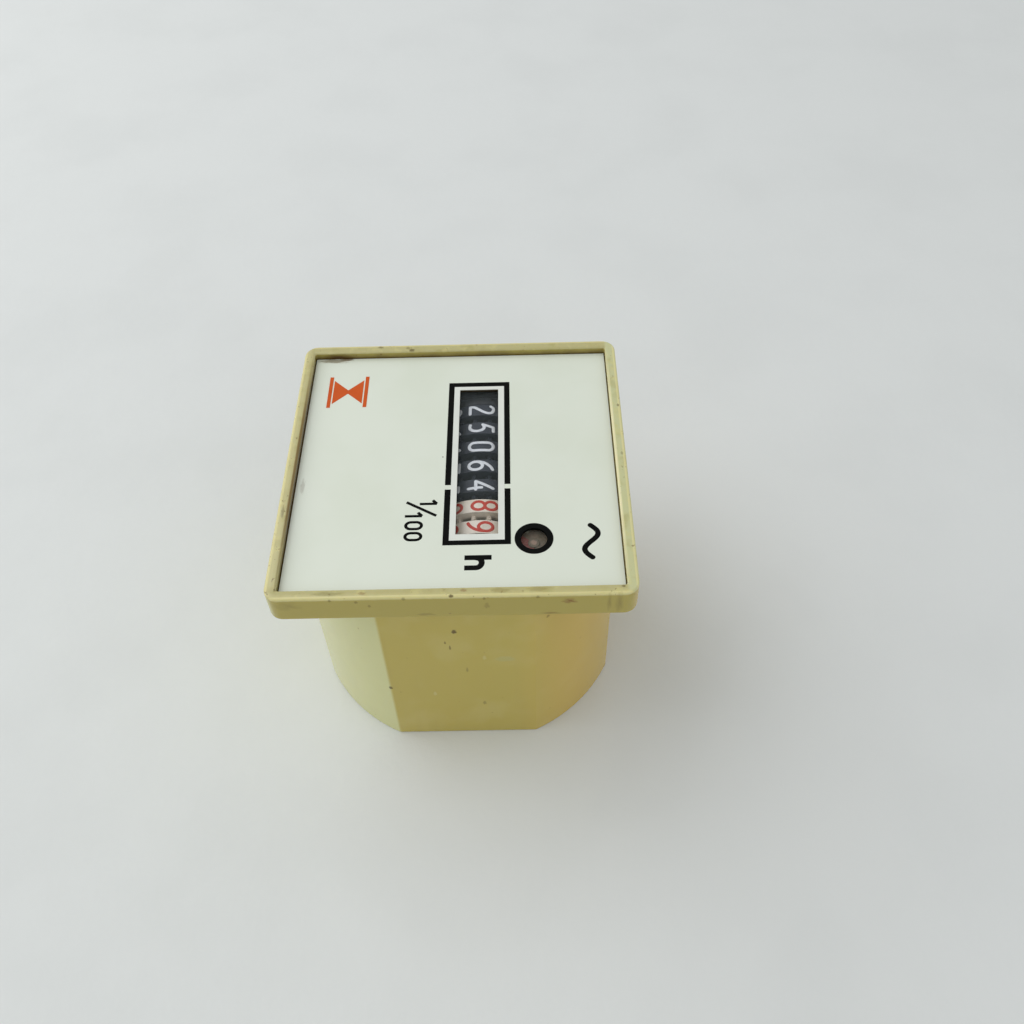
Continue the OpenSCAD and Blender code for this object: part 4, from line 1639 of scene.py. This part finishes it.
@dataclass
class RearFittings:
    """Rear cover with the wells of the blades, its screws and the blades."""

    radius: float = 22.98
    flat: float = 20.58
    thick: float = 2.4
    well_x: float = 18.08
    well: Place = (3.4, 9.0, 9.0)
    well_wall: float = 0.8
    well_root: float = 0.5
    blade: Point = (0.8, 6.3)
    snug: float = 0.02
    loose: float = 0.12
    screw_r: float = 0.8
    screw_end: float = 8.4
    head_r: float = 1.4
    head: Point = (0.1, 1.0)
    head_edge: float = 0.3
    slot: Point = (0.4, 0.4)
    below: float = -1.0
    above: float = 4.0

    def build(self) -> None:
        """Models the cover and its screws, and dresses the blades."""
        self._cover()
        self._screws()
        dress(("terminal_left", "terminal_right"), TINNED)

    def _cover(self) -> None:
        """Models the cover and puts it in place."""
        cover = barrel("rear_lid", self.radius, self.flat, 0.0, self.thick, True)
        (width, length, depth), e = self.well, self.well_wall
        w, l = width / 2, length / 2
        a, b = (side / 2 + self.snug for side in self.blade)
        hole_r, sink_r = (r + self.loose for r in (self.screw_r, self.head_r))
        for side in (-1, 1):
            x = side * self.well_x
            spot = (side * SCREW_AT, -side * SCREW_AT)
            low, high = (x - w - e, -l - e, self.well_root), (x + w + e, l + e, depth + e)
            combine(cover, Combine.ADD, block("pot", low, high))
            combine(
                cover,
                Combine.CUT,
                block("well", (x - w, -l, self.below), (x + w, l, depth)),
                block("slot", (x - a, -b, depth - 1), (x + a, b, depth + 2)),
                rod("hole", hole_r, spot, self.below, self.above, sides=32),
                rod("sink", sink_r, spot, self.below, self.head[1], sides=48),
            )
        soften(cover, width=0.1, angle=50.0)
        fasten(cover, CREAM_REAR, "case", "cream_plastic", "rear_cover")

    def _screws(self) -> None:
        """Models one slotted screw, copies it and puts the pair in place."""
        low, high = self.head
        x, y = spot = (SCREW_AT, -SCREW_AT)
        screw = rod("cover_screw_pair", self.head_r, spot, low, high, sides=64)
        round_edges(screw, lambda p, _d: p.z < low + CLOSE, self.head_edge, segments=5)
        shank = rod("shank", self.screw_r - self.snug, spot, high - 0.2, self.screw_end, sides=32)
        combine(screw, Combine.ADD, shank)
        half, depth = self.slot[0] / 2, self.slot[1]
        groove = block("slot", (x - 2, y - half, self.below), (x + 2, y + half, low + depth))
        combine(screw, Combine.CUT, groove)
        soften(screw, width=0.04, angle=50.0)
        other = twin(screw)
        shape(
            other, Part.FACES, everything, bpy.ops.transform.translate,
            value=metres((-2 * x, -2 * y, 0)),
        )
        only(screw)
        other.select_set(True)
        bpy.ops.object.join()
        fasten(screw, ZINC, "case", "zinc_steel", "cover_screws")


@dataclass
class InnerWorks:
    """Counter frame, gear train and motor behind the dial."""

    finishes: tuple[tuple[Finish, tuple[str, ...]], ...] = (
        (FRAME_BLACK, ("counter_frame",)),
        (STEEL, ("drum_shaft", "pinion_shaft", "gear_pin_1", "gear_pin_2", "rotor_pin")),
        (BRASS, ("movement_plate", "plate_pillars")),
        (ZINC, ("frame_screws", "motor_cup", "pole_plate")),
        (ACETAL, ("first_gear", "second_gear", "worm_arbor", "rotor_hub")),
        (ACETAL, tuple(f"carry_pinion_{i}" for i in range(1, 7))),
        (BOBBIN, ("coil_bobbin",)),
        (COPPER, ("coil_winding",)),
        (FERRITE, ("rotor_magnet",)),
    )

    def build(self) -> None:
        """Dresses the works."""
        for finish, nodes in self.finishes:
            dress(nodes, finish)


@dataclass
class Studio:
    """Pale floor, soft light and the photograph's camera."""

    eye: Place = (97.393, 9.433, 144.819)
    aim: Place = (10.304, 7.845, 39.3)
    roll: float = -1.988
    lens: float = 35.744
    sensor: float = 36.0
    nearest: float = 5.0
    floor_size: float = 6000.0
    floor: str = "#E2E5E3"
    sky: str = "#F2F4F6"
    sky_levels: Point = (0.56, 0.9)
    key_at: Place = (-200.0, -500.0, 540.0)
    key: Point = (900.0, 3.5)
    fill_at: Place = (420.0, 320.0, 480.0)
    fill: Point = (500.0, 0.45)
    lit: Place = (0.0, 0.0, 20.0)

    def build(self) -> None:
        """Sets the view, the floor, the world and the lamps."""
        bpy.context.scene.view_settings.view_transform = "Standard"
        self._camera()
        self._floor()
        self._world()
        self._lamp("key_light", self.key_at, *self.key)
        self._lamp("fill_light", self.fill_at, *self.fill)

    def _camera(self) -> None:
        """Puts the camera where the photograph was taken from."""
        data = bpy.data.cameras.new("camera")
        data.lens = self.lens
        data.sensor_width = self.sensor
        data.clip_start = self.nearest * MM
        camera = bpy.data.objects.new("camera", data)
        bpy.context.scene.collection.objects.link(camera)
        ahead = (Vector(self.aim) - Vector(self.eye)).normalized()
        right = ahead.cross(Vector((0, 0, 1))).normalized()
        up = right.cross(ahead)
        c, s = math.cos(math.radians(self.roll)), math.sin(math.radians(self.roll))
        axes = Matrix((c * right + s * up, c * up - s * right, -ahead)).transposed()
        camera.matrix_world = Matrix.Translation(Vector(self.eye) * MM) @ axes.to_4x4()
        bpy.context.scene.camera = camera

    def _floor(self) -> None:
        """Lays the pale floor that the meter stands on."""
        # Foam sheet: pale, matt and faintly mottled
        floor = start("floor", bpy.ops.mesh.primitive_plane_add, size=self.floor_size * MM)
        finish = Finish(
            "foam_sheet_pale", self.floor, (0.7, 0.85), 6.0,
            (Patches("#DCDFDD", 30.0, (0.4, 0.7), 0.5),), relief=0.05, grain=(1.5, 1.5, 1.5),
        )
        floor.data.materials.append(finish.material())

    def _world(self) -> None:
        """Lights the scene evenly, with a pale sky where the camera or a gloss sees it."""
        world = bpy.data.worlds.new("studio")
        bpy.context.scene.world = world
        world.use_nodes = True
        tree = world.node_tree
        tree.nodes.clear()
        path = add_node(tree, "ShaderNodeLightPath").outputs
        seen = path["Is Camera Ray"]
        for ray in ("Is Glossy Ray", "Is Transmission Ray"):
            links = {0: seen, 1: path[ray]}
            seen = add_node(tree, "ShaderNodeMath", links, operation="MAXIMUM").outputs[0]
        dim, bright = self.sky_levels
        strength = add_node(
            tree, "ShaderNodeMapRange", {"Value": seen}, {"To Min": dim, "To Max": bright}
        )
        sky = add_node(
            tree, "ShaderNodeBackground", {"Strength": strength.outputs[0]},
            {"Color": linear(self.sky)},
        )
        add_node(tree, "ShaderNodeOutputWorld", {"Surface": sky.outputs[0]})

    def _lamp(self, name: str, at: Place, size: float, power: float) -> None:
        """Hangs a square soft lamp that faces the meter.

        Args:
            name: the lamp's name.
            at: its place.
            size: its side.
            power: its power in watts.
        """
        data = bpy.data.lights.new(name, "AREA")
        data.size = size * MM
        data.energy = power
        lamp = bpy.data.objects.new(name, data)
        bpy.context.scene.collection.objects.link(lamp)
        lamp.location = metres(at)
        lamp.rotation_euler = (Vector(self.lit) - Vector(at)).to_track_quat("-Z", "Y").to_euler()


def main() -> None:
    """Builds the sub-assemblies in order."""
    logging.basicConfig(level=logging.INFO, format="%(name)s: %(message)s")
    for assembly in (
        Studio(), HousingShell(), DialPrint(), NumberDrums(), RunningIndicator(), RearFittings(),
        InnerWorks(),
    ):
        LOG.info("building %s", type(assembly).__name__)
        assembly.build()


if __name__ == "__main__":
    main()
